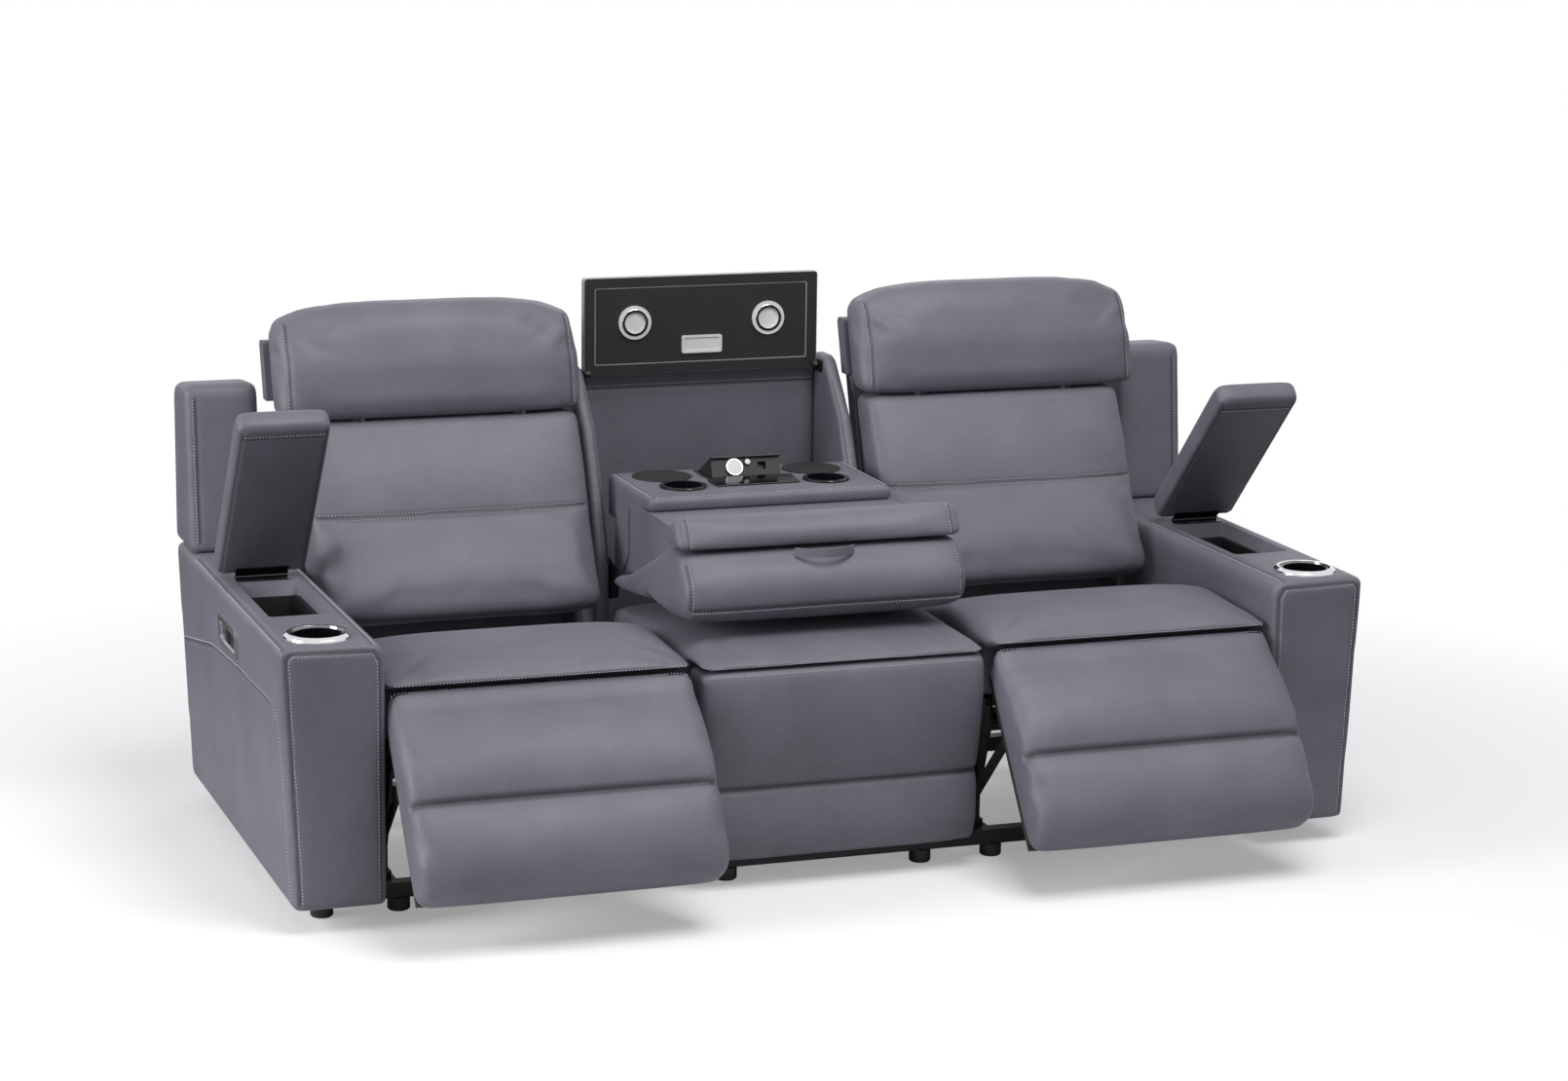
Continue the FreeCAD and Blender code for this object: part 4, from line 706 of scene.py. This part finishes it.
class SOFA_OT_backs(Work, bpy.types.Operator):
    """Lumbar pads, sewn across in two rows, and arched headrests."""

    bl_idname = "sofa.backs"
    bl_label = "Backs and Headrests"

    def make(self, context):
        lumbar = [
            (528, 456, 521, 448, 26), (605, 560, 584, 556, 160), (672, 650, 654, 650, 120),
            (704, 730, 689, 730, 120), (737, 790, 731, 797, 40), (760, 835, 755, 835, 12),
            (shell(826, -4), 833, shell(826, -1), 833, 8), (shell(446, -1), 456, shell(446, -1), 448, 12),
        ]
        headrest = [
            (757, 840, 747, 836, 12), (765, 880, 753, 878, 60), (777, 950, 765, 950, 100),
            (803, 1006, 793, 1026, 60), (829, 1030, 824, 1077, 34),
            (shell(1030, -15), 1031, shell(1066, -15) - 16, 1072, 26),
            (shell(960, -15), 960, shell(960, -15), 960, 60), (shell(838, -15), 841, shell(838, -15), 838, 6),
        ]
        for side, sign in SIDES.items():
            pad = Pad(f"{side}_lumbar_cover", on_side(sign, across(*BACK_X, lumbar, 16.0)),
                      f"{side}_back", [f"{side}_lumbar_pad"], fill=0.75,
                      held=lambda co: (co[:, 1] - FRONT_Y > shell(co[:, 2]) - 34)
                      | (np.abs(co[:, 2] - 656) < 6) | (co[:, 2] > 806))
            pad.seam(row_x(BACK_X[0] + 10, BACK_X[1] - 10, 660.0, 656.0, sign), (0, -1, 0), 3.0, 7.0,
                     (-5.0, 5.0))
            pad = Pad(f"{side}_headrest_cover", on_side(sign, across(*HEADREST_X, headrest, 18.0, 4.5)),
                      f"{side}_headrest", [f"{side}_headrest_pad"], fill=0.85,
                      held=lambda co: (co[:, 1] - FRONT_Y > shell(co[:, 2]) - 40)
                      | (co[:, 2] < 850))
            for x in (HEADREST_X[0] + 24, HEADREST_X[1] - 24):
                heights = np.linspace(852, 1030, 30)
                rise = np.interp(heights, [852, 950, 1030], [760, 775, 812])
                pad.seam(np.stack([np.full(30, x * sign), FRONT_Y + rise, heights], 1), (0, -1, 0),
                         2.0, 5.0, (sign * (4.5 if x > 600 else -4.5),))


class SOFA_OT_centre(Work, bpy.types.Operator):
    """Centre seat, its fixed front pad, and the drop-down back with its roll."""

    bl_idname = "sofa.centre"
    bl_label = "Centre Seat and Console Cushions"

    def make(self, context):
        seat = [
            (12, 450, 6, 450, 4), (11, 459, 3, 461, 10), (58, 468, 57, 473, 60), (290, 470, 290, 477, 300),
            (500, 461, 500, 465, 60), (605, 451, 610, 456, 30), (605, 335, 610, 335, 12),
            (112, 335, 109, 335, 12), (112, 450, 109, 450, 10),
        ]
        front = [
            (15, 440, 10, 443, 10), (25, 447, 22, 447, 6), (103, 447, 103, 447, 6), (103, 56, 103, 52, 8),
            (47, 56, 42, 52, 16), (35, 110, 27, 110, 60), (39, 184, 32, 188, 16), (46, 203, 45, 203, 4),
            (37, 222, 29, 220, 16), (22, 300, 8, 300, 80), (12, 378, -2, 384, 60),
        ]
        drop = [
            (619, 489, 627, 486, 18), (508, 499, 508, 493, 200), (392, 513, 392, 507, 26),
            (377, 529, 377, 527, 4), (362, 517, 362, 511, 26), (230, 513, 230, 507, 120),
            (119, 529, 112, 525, 26), (112, 590, 103, 590, 50), (167, 649, 159, 650, 12),
            (245, 652, 245, 653, 10), (375, 595, 375, 596, 30), (522, 535, 522, 536, 30),
            (619, 513, 627, 511, 10),
        ]
        roll = [
            (151, 656.5, 146, 656.5, 8), (187, 715, 184, 719, 16), (211, 715, 213, 719, 16),
            (251, 678, 254, 680, 24), (257, 656.5, 260, 656.5, 8),
        ]
        pad = Pad("centre_seat_cover", across(-297, 297, seat, 12.0), "sofa_base", ["centre_seat_cushion"],
                  held=lambda co: (co[:, 2] < 455) | (co[:, 1] > FRONT_Y + 590), fill=0.7)
        pad.seam(row_x(-289, 289, 6.0, 456.5), (0, -1, 0.25), 0, 0, (0.0,))
        pad = Pad("centre_front_cover", across(-297, 297, front, 12.0), "sofa_base", ["centre_seat_front"],
                  held=lambda co: (co[:, 1] > FRONT_Y + 70) | (co[:, 2] > 425)
                  | (np.abs(co[:, 2] - FRONT_CREASE_Z) < 9), fill=0.85)
        pad.seam(row_x(-296, 296, 45.0, FRONT_CREASE_Z), (0, -1, 0), 8.0, 6.0, ())
        pad.seam(row_x(-289, 289, 14.0, 436.0), (0, -1, 0.4), 0, 0, (0.0,))
        pad = Pad("drop_cushion_cover", across(-295, 295, drop, 14.0), "console", ["drop_cushion"],
                  held=lambda co: (co[:, 2] > 632) | (co[:, 1] > FRONT_Y + 330) | (co[:, 2] < 512), fill=0.8)
        lip = [(x, 108, 545) for x in np.linspace(-284, 284, 40)]
        pad.seam(path(lip), (0, -1, 0), 2.0, 6.0, (5.0,))
        for x in (-284, 284):
            pad.seam(path([(x, 110, z) for z in np.linspace(545, 632, 14)]), (0, -1, 0), 2.0, 5.0,
                     (4.5 if x < 0 else -4.5,))
        pad = Pad("console_roll_cover", across(-299, 299, roll, 14.0, 14.0), "console", ["console_roll"],
                  held=lambda co: co[:, 2] < 662, fill=0.85, voxel=0.007)
        for x in (-276, 276):
            pad.seam(path([(x, s, z) for s, z in zip(np.linspace(148, 190, 14), np.linspace(660, 718, 14))]),
                     (0, -1, 0.3), 1.5, 4.0, (4.0 if x < 0 else -4.0,))


class SOFA_OT_lids(Work, bpy.types.Operator):
    """Padded arm lids, turned up to their part-open places."""

    bl_idname = "sofa.lids"
    bl_label = "Arm Lids"

    def make(self, context):
        corners = [
            (596, 564, 596, 564, 4), (177, 564, 169, 564, 16), (171, 609, 165, 612, 22),
            (204, 612, 204, 618, 60), (596, 611, 596, 616, 18),
        ]
        x0, x1 = HALF_WIDTH - 3 - 182, HALF_WIDTH - 3
        for side, sign in SIDES.items():
            pad = Pad(f"{side}_lid_cover", on_side(sign, across(x0, x1, corners, 10.0, 8.0)),
                      f"{side}_arm_lid", [f"{side}_lid"], turn=LID_ANGLES[side], about=LID_HINGE,
                      fill=0.95, voxel=0.0062)
            pad.seam(row_x(x0 + 8, x1 - 8, 202.0, 560.0, sign), (0, 0, -1), 1.5, 4.5, (4.5,))
            for x in (x0 + 9, x1 - 9):
                edge = path([(x, s, 560) for s in np.linspace(185, 590, 50)], sign)
                pad.seam(edge, (0, 0, -1), 1.2, 4.0, ())


def arm_x(z):
    """X of the arm's leaning outer face at a height."""
    return HALF_WIDTH - ARM_LEAN * (1 - (z - ARM_BOTTOM) / (ARM_TOP - ARM_BOTTOM))


def disc(x, s, z0, z1, radius, count=64):
    """An upright round tool."""
    a = np.linspace(0, 2 * math.pi, count, endpoint=False)
    ring = np.stack([x + radius * np.cos(a), FRONT_Y + s + radius * np.sin(a)], 1)
    outlines = np.array([ring, ring])
    z = np.array([z0, z1])[:, None, None] + np.zeros((2, count, 1))
    return tube(outlines, lambda o: np.concatenate([o, z], -1))


def slab(x0, x1, s0, s1, z0, z1, radius):
    """An upright tool with a rounded plan."""
    ring = rounded(np.array([(x0, s0, radius), (x1, s0, radius), (x1, s1, radius), (x0, s1, radius)], float))
    outlines = np.array([ring, ring])
    z = np.array([z0, z1])[:, None, None] + np.zeros((2, len(ring), 1))
    return tube(outlines, lambda o: np.concatenate([o[..., :1], o[..., 1:] + FRONT_Y, z], -1))


class SOFA_OT_arms(Work, bpy.types.Operator):
    """Arms with a sewn front panel, side seams, storage recess and cup hole."""

    bl_idname = "sofa.arms"
    bl_label = "Arms"

    def make(self, context):
        section = [(ARM_INNER, ARM_BOTTOM, 5), (HALF_WIDTH - ARM_LEAN, ARM_BOTTOM, 9),
                   (HALF_WIDTH, ARM_TOP, 13), (ARM_INNER, ARM_TOP, 28)]
        centre = HALF_WIDTH - 101
        for side, sign in SIDES.items():
            pad = Pad(f"{side}_arm_cover", on_side(sign, along(0, 1025, section, 15.0)), "sofa_base",
                      [f"{side}_arm"], fill=1.0, voxel=0.0105)
            edge = [(ARM_INNER + 12, 0, 60), (ARM_INNER + 12, 0, 520), (ARM_INNER + 24, 0, 540),
                    (HALF_WIDTH - 24, 0, 544), (HALF_WIDTH - 14, 0, 532), (arm_x(60) - 12, 0, 60)]
            pad.seam(path(edge, sign), (0, -1, 0), 3.5, 4.5, (5.5 * sign,))
            for x, row in ((ARM_INNER + 26, -5.5), (HALF_WIDTH - 12, 5.5)):
                top = path([(x, 10, ARM_TOP), (x, 840, ARM_TOP)], sign)
                pad.seam(top, (0, 0, 1), 3.0, 4.5, (row * sign,))
            curve = np.array([(999, 348), (676, 406), (386, 423), (120, 428), (82, 424), (62, 405),
                              (50, 370), (44, 300), (40, 60)], float)
            side_line = [(HALF_WIDTH - 10, s, z) for s, z in curve]
            pad.seam(path(side_line, sign), (sign, 0, 0), 3.0, 4.5, (5.5 * sign,))
            for half, s0, s1, depth, corner in ((62, 262, 568, 32, 10), (55, 269, 561, 136, 8)):
                x0, x1 = sorted((sign * (centre - half), sign * (centre + half)))
                pad.cutters.append(slab(x0, x1, s0, s1, ARM_TOP - depth, ARM_TOP + 30, corner))
            pad.cutters.append(disc(sign * (HALF_WIDTH - 93), 87, ARM_TOP - 87, ARM_TOP + 30, 47.4))
            face = arm_x(470) * sign
            x0, x1 = sorted((face - sign * 15, face + sign * 30))
            pad.cutters.append(box(x0, x1, 404, 560, 445, 495))


class SOFA_OT_wings(Work, bpy.types.Operator):
    """Side wings on the arms, and the fixed centre back with its cheeks."""

    bl_idname = "sofa.wings"
    bl_label = "Wings and Centre Back"

    def make(self, context):
        side_outline = [(859, 557, 859, 557, 6), (895, 902, 893, 902, 24), (1024, 890, 1025, 890, 24),
                        (1024, 557, 1025, 557, 6)]
        for side, sign in SIDES.items():
            pad = Pad(f"{side}_wing_cover", on_side(sign, across(966, 1120, side_outline, 16.0, 8.0)),
                      "sofa_base", [f"{side}_wing"], fill=0.95, voxel=0.009)
            line = [(1120 - 22, 855 + (z - 557) * 0.11, z) for z in np.linspace(575, 872, 30)]
            pad.seam(path(line, sign), (0, -1, 0), 2.0, 5.0, (5.0 * sign,))
        cheek = straight([(699, 301, 4), (699, 540, 60), (733, 640, 80), (799, 785, 80), (879, 878, 40),
                          (904, 904, 16), (982, 904, 14), (982, 301, 4)])
        for side, sign in SIDES.items():
            pad = Pad(f"{side}_cheek_cover", on_side(sign, across(270.5, 302.5, cheek, 6.0, 8.0)),
                      "sofa_base", ["centre_back_frame"], fill=1.0, voxel=0.008)
            line = np.array([(699, 520), (733, 640), (799, 785), (860, 860)], float)
            pad.seam(path([(278, s, z) for s, z in line], sign), (0, -1, 0.3), 1.2, 4.0, (4.0 * sign,))
        wall = straight([(949, 301, 3), (949, 884, 8), (982, 884, 8), (982, 301, 3)])
        pad = Pad("recess_wall_cover", across(-270, 270, wall, 4.0, 8.0), "sofa_base", [],
                  fill=1.0, voxel=0.009)
        pad.seam(row_x(-262, 262, 949.0, 846.0), (0, -1, 0), 1.8, 5.0, (-5.0,))


class SOFA_OT_table(Work, bpy.types.Operator):
    """The console's covered table top, bored for the cups and the outlet."""

    bl_idname = "sofa.table"
    bl_label = "Console Table"

    def make(self, context):
        outline = straight([(455, 674.5, 4), (455, 702.5, 8), (748, 702.5, 8), (748, 612.5, 6),
                            (650.5, 612.5, 6), (650.5, 674.5, 2)])
        pad = Pad("console_table_cover", across(-262, 262, outline, 7.0, 8.0), "console", ["console_table"],
                  fill=1.0, voxel=0.0065)
        for sign in (-1, 1):
            pad.cutters.append(disc(sign * 156, 563, 590, 740, 41.4))
            pad.cutters.append(disc(sign * 165, 680, 701, 740, 62.4))
        pad.cutters.append(box(-80, 80, 605, 719, 641, 740))
        near, far = (-250, 467, 703), (250, 467, 703)
        lines = (((near, (-250, 738, 703)), -3.5), ((far, (250, 738, 703)), 3.5), ((near, far), 3.5))
        for ends, row in lines:
            pad.seam(path(ends), (0, 0, 1), 1.2, 4.0, (row,))


def button(x, s0, s1, z, radius, count=48):
    """A round piece with its axis along Y and a softened front edge."""
    a = np.linspace(0, 2 * math.pi, count, endpoint=False)
    ring = np.stack([np.cos(a), np.sin(a)], 1)
    outlines = np.array([ring * (radius - 1), ring * radius, ring * radius]) + np.array([x, z])
    y = np.array([s0, s0 + 0.7, s1])[:, None, None] + FRONT_Y + np.zeros((3, count, 1))
    return tube(outlines, lambda o: np.concatenate([o[..., :1], y, o[..., 1:]], -1))


def plate(x0, x1, z0, z1, s0, s1, radius):
    """A rounded plate that faces the front."""
    corners = [(x0, z0, radius), (x1, z0, radius), (x1, z1, radius), (x0, z1, radius)]
    outlines = np.array([rounded(np.array(corners, float), 5, 3)] * 2)
    y = np.array([s0, s1])[:, None, None] + FRONT_Y + np.zeros(outlines.shape[:2] + (1,))
    return tube(outlines, lambda o: np.concatenate([o[..., :1], y, o[..., 1:]], -1))


class SOFA_OT_trims(Work, bpy.types.Operator):
    """Small trims: the panel's edging, made pale as a painted highlight on its rim, and its pale inner line,
    lamp rings, and the outlet's inserts.
    """

    bl_idname = "sofa.trims"
    bl_label = "Small Trims"

    def make(self, context):
        pale = trim("pale_edging", (0.36, 0.36, 0.38), 0.45)
        white = trim("white_insert", (0.74, 0.74, 0.74), 0.4, grain=300.0, spread=0.04)
        chrome, dark = polished_trim(), polished_black()
        # Painted highlight: the panel's thin rim is given a pale grey for the light that catches its edges.
        edging = mesh_object("panel_rim_painted_highlight", *plate(-262.4, 262.4, 879.2, 1087.2, 920.8, 939.2, 7))
        cut(edging, mesh_object("panel_edging_tool", *plate(-260.6, 260.6, 881.4, 1085.4, 900, 960, 5)))
        settle(edging, "light", pale)
        line = mesh_object("panel_line", *plate(-238.5, 238.5, 900.5, 1065.5, 921.2, 922.4, 4))
        cut(line, mesh_object("panel_line_tool", *plate(-236.6, 236.6, 902.4, 1063.6, 900, 960, 3)))
        settle(line, "light", pale)
        for name, x in (("left_lamp_ring", -150), ("right_lamp_ring", 150)):
            ring = mesh_object(name, *button(x, 915.6, 918.5, 990, 29))
            cut(ring, mesh_object(name + "_tool", *button(x, 900, 930, 990, 23)))
            settle(ring, "light", chrome)
        for name, x, z, radius, material in (("socket_insert", -26, 681, 16.5, white),
                                             ("button_insert", 4, 691, 6.0, white),
                                             ("socket_ring", -26, 681, 18.6, chrome),
                                             ("button_ring", 4, 691, 7.4, dark)):
            front = 613.9 if "insert" in name else 614.6
            obj = mesh_object(name, *button(x, front, 616.4, z, radius))
            turn_object(obj, OUTLET_HINGE, OUTLET_ANGLE)
            settle(obj, "outlet", material)


class SOFA_OT_fill(Work, bpy.types.Operator):
    """Fill every cushion that has held edges, then refine all the covers."""

    bl_idname = "sofa.fill"
    bl_label = "Fill the Cushions"

    def make(self, context):
        filled = [pad for pad in PADS if pad.held is not None]
        fill_covers(filled)
        for pad in filled:
            soften = pad.obj.modifiers.new("Settle", "SMOOTH")
            soften.factor = 0.5
            soften.iterations = 8
            baked(pad.obj)
        for pad in PADS:
            subdivide(pad.obj)


class SOFA_OT_sew(Work, bpy.types.Operator):
    """Draw in the seams, lay the stitches, cut the openings and hand each cover over."""

    bl_idname = "sofa.sew"
    bl_label = "Sew the Covers"

    def make(self, context):
        cover, sewing = suede(), thread()
        for pad in PADS:
            stitches = sew(pad)
            for index, shape in enumerate(pad.cutters):
                cut(pad.obj, mesh_object(f"{pad.name}_tool_{index}", *shape))
            if pad.turn:
                for obj in filter(None, (pad.obj, stitches)):
                    turn_object(obj, pad.about, pad.turn)
            pad.obj.data.shade_smooth()
            settle(pad.obj, pad.body, cover, pad.nodes)
            if stitches:
                settle(stitches, pad.body, sewing)
        PADS.clear()


class SOFA_OT_finishes(Work, bpy.types.Operator):
    """Finishes of the hard parts that keep their own shape."""

    bl_idname = "sofa.finishes"
    bl_label = "Hard Finishes"

    def make(self, context):
        black = context.scene.sofa_colours.black
        looks = {
            "steel": trim("black_powder_coat", black, 0.45, 0.3, 900.0),
            "hinge": trim("black_plated_steel", (0.03, 0.03, 0.033), 0.3, 0.85, 300.0),
            "plastic": trim("black_moulded_plastic", black, 0.5, 0.0, 1200.0),
            "gloss": polished_black(),
            "bright": polished_trim(),
            "bezel": trim("plated_bezel", (0.55, 0.56, 0.58), 0.25, 0.9, 150.0, 0.00003, 0.05),
            "lamp": trim("frosted_lamp", (0.80, 0.80, 0.81), 0.35, 0.0, 260.0, 0.0002, 0.04),
            "wood": wood(),
            "cover": suede(),
        }
        plan = {
            "steel": ["base_frame", "left_seat_frame", "right_seat_frame", "left_drive_links",
                      "right_drive_links", "left_coupler_links", "right_coupler_links"],
            "hinge": ["lid_hinge_bases", "left_lid_leaf", "right_lid_leaf", "centre_hinges"],
            "plastic": ["feet", "power_supply", "arm_bins", "left_actuator", "right_actuator", "popup_frame",
                        "popup_outlet", "light_panel", "round_pads"],
            "gloss": ["cup_holders", "console_cups", "touch_strip", "left_recline_rocker",
                      "right_recline_rocker", "left_headrest_rocker", "right_headrest_rocker"],
            "bright": ["cup_rings"],
            "bezel": ["left_control_panel", "right_control_panel"],
            "lamp": ["panel_lamps"],
            "wood": ["left_footrest_board", "right_footrest_board", "left_headrest_frame",
                     "right_headrest_frame"],
            "cover": ["console_core", "console_arms", "left_back_shell", "right_back_shell", "pull_loop"],
        }
        for look, names in plan.items():
            for name in names:
                NODES[name].data.materials.clear()
                NODES[name].data.materials.append(looks[look])


class SOFA_OT_stage(Work, bpy.types.Operator):
    """The pale floor, the soft lamps and the camera at the photograph's angle."""

    bl_idname = "sofa.stage"
    bl_label = "Stage, Lamps and Camera"

    def make(self, context):
        scene = context.scene
        corners = [(x * FLOOR_HALF, y * FLOOR_HALF, -0.5) for x, y in ((-1, -1), (1, -1), (1, 1), (-1, 1))]
        floor = mesh_object("floor", corners, [[0, 1, 2, 3]], False)
        material, tree, main = shader("pale_floor", (0.80, 0.80, 0.81), 0.95)
        main.inputs["Specular IOR Level"].default_value = 0.0
        sight = tree.nodes.new("ShaderNodeLightPath")
        lift = self.glow(tree, sight, 0.30)
        white = self.glow(tree, sight, 1.0)
        both = tree.nodes.new("ShaderNodeAddShader")
        tree.links.new(main.outputs[0], both.inputs[0])
        tree.links.new(lift, both.inputs[1])
        where = tree.nodes.new("ShaderNodeTexCoord")
        reach = tree.nodes.new("ShaderNodeVectorMath")
        reach.operation = "LENGTH"
        fade = tree.nodes.new("ShaderNodeMapRange")
        fade.inputs["From Min"].default_value, fade.inputs["From Max"].default_value = FLOOR_FADE
        tree.links.new(where.outputs["Object"], reach.inputs[0])
        tree.links.new(reach.outputs["Value"], fade.inputs["Value"])
        mix = tree.nodes.new("ShaderNodeMixShader")
        tree.links.new(fade.outputs["Result"], mix.inputs[0])
        tree.links.new(both.outputs[0], mix.inputs[1])
        tree.links.new(white, mix.inputs[2])
        tree.links.new(mix.outputs[0], tree.nodes["Material Output"].inputs["Surface"])
        floor.data.materials.append(material)
        self.world(scene)
        for lamp in LAMPS:
            self.lamp(*lamp)
        self.camera(scene)
        scene.view_settings.view_transform = "Standard"

    def glow(self, tree, sight, strength):
        """A white glow that only the camera sees."""
        glow = tree.nodes.new("ShaderNodeEmission")
        scaled = tree.nodes.new("ShaderNodeMath")
        scaled.operation = "MULTIPLY"
        scaled.inputs[1].default_value = strength
        tree.links.new(sight.outputs["Is Camera Ray"], scaled.inputs[0])
        tree.links.new(scaled.outputs[0], glow.inputs["Strength"])
        return glow.outputs[0]

    def world(self, scene):
        world = bpy.data.worlds.new("studio")
        scene.world = world
        world.use_nodes = True
        tree = world.node_tree
        back = tree.nodes["Background"]
        back.inputs["Color"].default_value = (0.94, 0.95, 1.0, 1)
        back.inputs["Strength"].default_value = 0.24
        seen = tree.nodes.new("ShaderNodeBackground")
        seen.inputs["Color"].default_value = (1, 1, 1, 1)
        seen.inputs["Strength"].default_value = 1.0
        mix = tree.nodes.new("ShaderNodeMixShader")
        sight = tree.nodes.new("ShaderNodeLightPath")
        ray = sight.outputs["Is Camera Ray"]
        for other in ("Is Glossy Ray", "Is Transmission Ray"):
            larger = tree.nodes.new("ShaderNodeMath")
            larger.operation = "MAXIMUM"
            tree.links.new(ray, larger.inputs[0])
            tree.links.new(sight.outputs[other], larger.inputs[1])
            ray = larger.outputs[0]
        tree.links.new(ray, mix.inputs[0])
        tree.links.new(back.outputs[0], mix.inputs[1])
        tree.links.new(seen.outputs[0], mix.inputs[2])
        tree.links.new(mix.outputs[0], tree.nodes["World Output"].inputs["Surface"])

    def lamp(self, name, place, target, size, power):
        light = bpy.data.lights.new(name, "AREA")
        light.shape = "SQUARE"
        light.size = size
        light.energy = power
        obj = bpy.data.objects.new(name, light)
        obj.location = place
        obj.rotation_euler = (Vector(target) - Vector(place)).to_track_quat("-Z", "Y").to_euler()
        bpy.context.scene.collection.objects.link(obj)

    def camera(self, scene):
        """A level camera turned by yaw about Z, pitched down, then rolled about its own axis."""
        yaw, pitch, roll = (math.radians(a) for a in CAMERA_ANGLES)
        data = bpy.data.cameras.new("camera")
        data.sensor_width = 36.0
        data.lens = FOCAL_PIXELS / PHOTO_WIDTH * data.sensor_width
        data.clip_end = 200.0
        obj = bpy.data.objects.new("camera", data)
        ahead = Vector((math.sin(yaw) * math.cos(pitch), math.cos(yaw) * math.cos(pitch), -math.sin(pitch)))
        right = Vector((math.cos(yaw), -math.sin(yaw), 0))
        up = right.cross(ahead)
        right, up = (right * math.cos(roll) + up * math.sin(roll),
                     up * math.cos(roll) - right * math.sin(roll))
        turn = obj.matrix_world.to_3x3()
        for column, axis in enumerate((right, up, -ahead)):
            turn.col[column] = axis
        whole = turn.to_4x4()
        whole.translation = Vector(CAMERA_PLACE)
        obj.matrix_world = whole
        scene.collection.objects.link(obj)
        scene.camera = obj


class SOFA_PT_panel(bpy.types.Panel):
    """Lists the sizes, the colours and the steps in order."""

    bl_idname = "SOFA_PT_panel"
    bl_label = "Sofa"
    bl_space_type = "VIEW_3D"
    bl_region_type = "UI"
    bl_category = "Sofa"

    def draw(self, context):
        for group in (context.scene.sofa_sizes, context.scene.sofa_colours):
            for key in group.bl_rna.properties.keys():
                if key not in {"rna_type", "name"}:
                    self.layout.prop(group, key)
        for step in STEPS:
            self.layout.operator(step.bl_idname)


STEPS = (SOFA_OT_stage, SOFA_OT_seats, SOFA_OT_footrests, SOFA_OT_backs, SOFA_OT_centre, SOFA_OT_lids,
         SOFA_OT_arms, SOFA_OT_wings, SOFA_OT_table, SOFA_OT_fill, SOFA_OT_sew, SOFA_OT_trims,
         SOFA_OT_finishes)
GROUPS = {"sofa_sizes": SofaSizes, "sofa_colours": SofaColours}


def register():
    for group in (*GROUPS.values(), *STEPS, SOFA_PT_panel):
        bpy.utils.register_class(group)
    for name, group in GROUPS.items():
        setattr(bpy.types.Scene, name, PointerProperty(type=group))


def unregister():
    for name in GROUPS:
        delattr(bpy.types.Scene, name)
    for group in reversed((*GROUPS.values(), *STEPS, SOFA_PT_panel)):
        bpy.utils.unregister_class(group)


def main():
    register()
    for step in STEPS:
        area, name = step.bl_idname.split(".")
        getattr(getattr(bpy.ops, area), name)()
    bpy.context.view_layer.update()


if __name__ == "__main__":
    main()
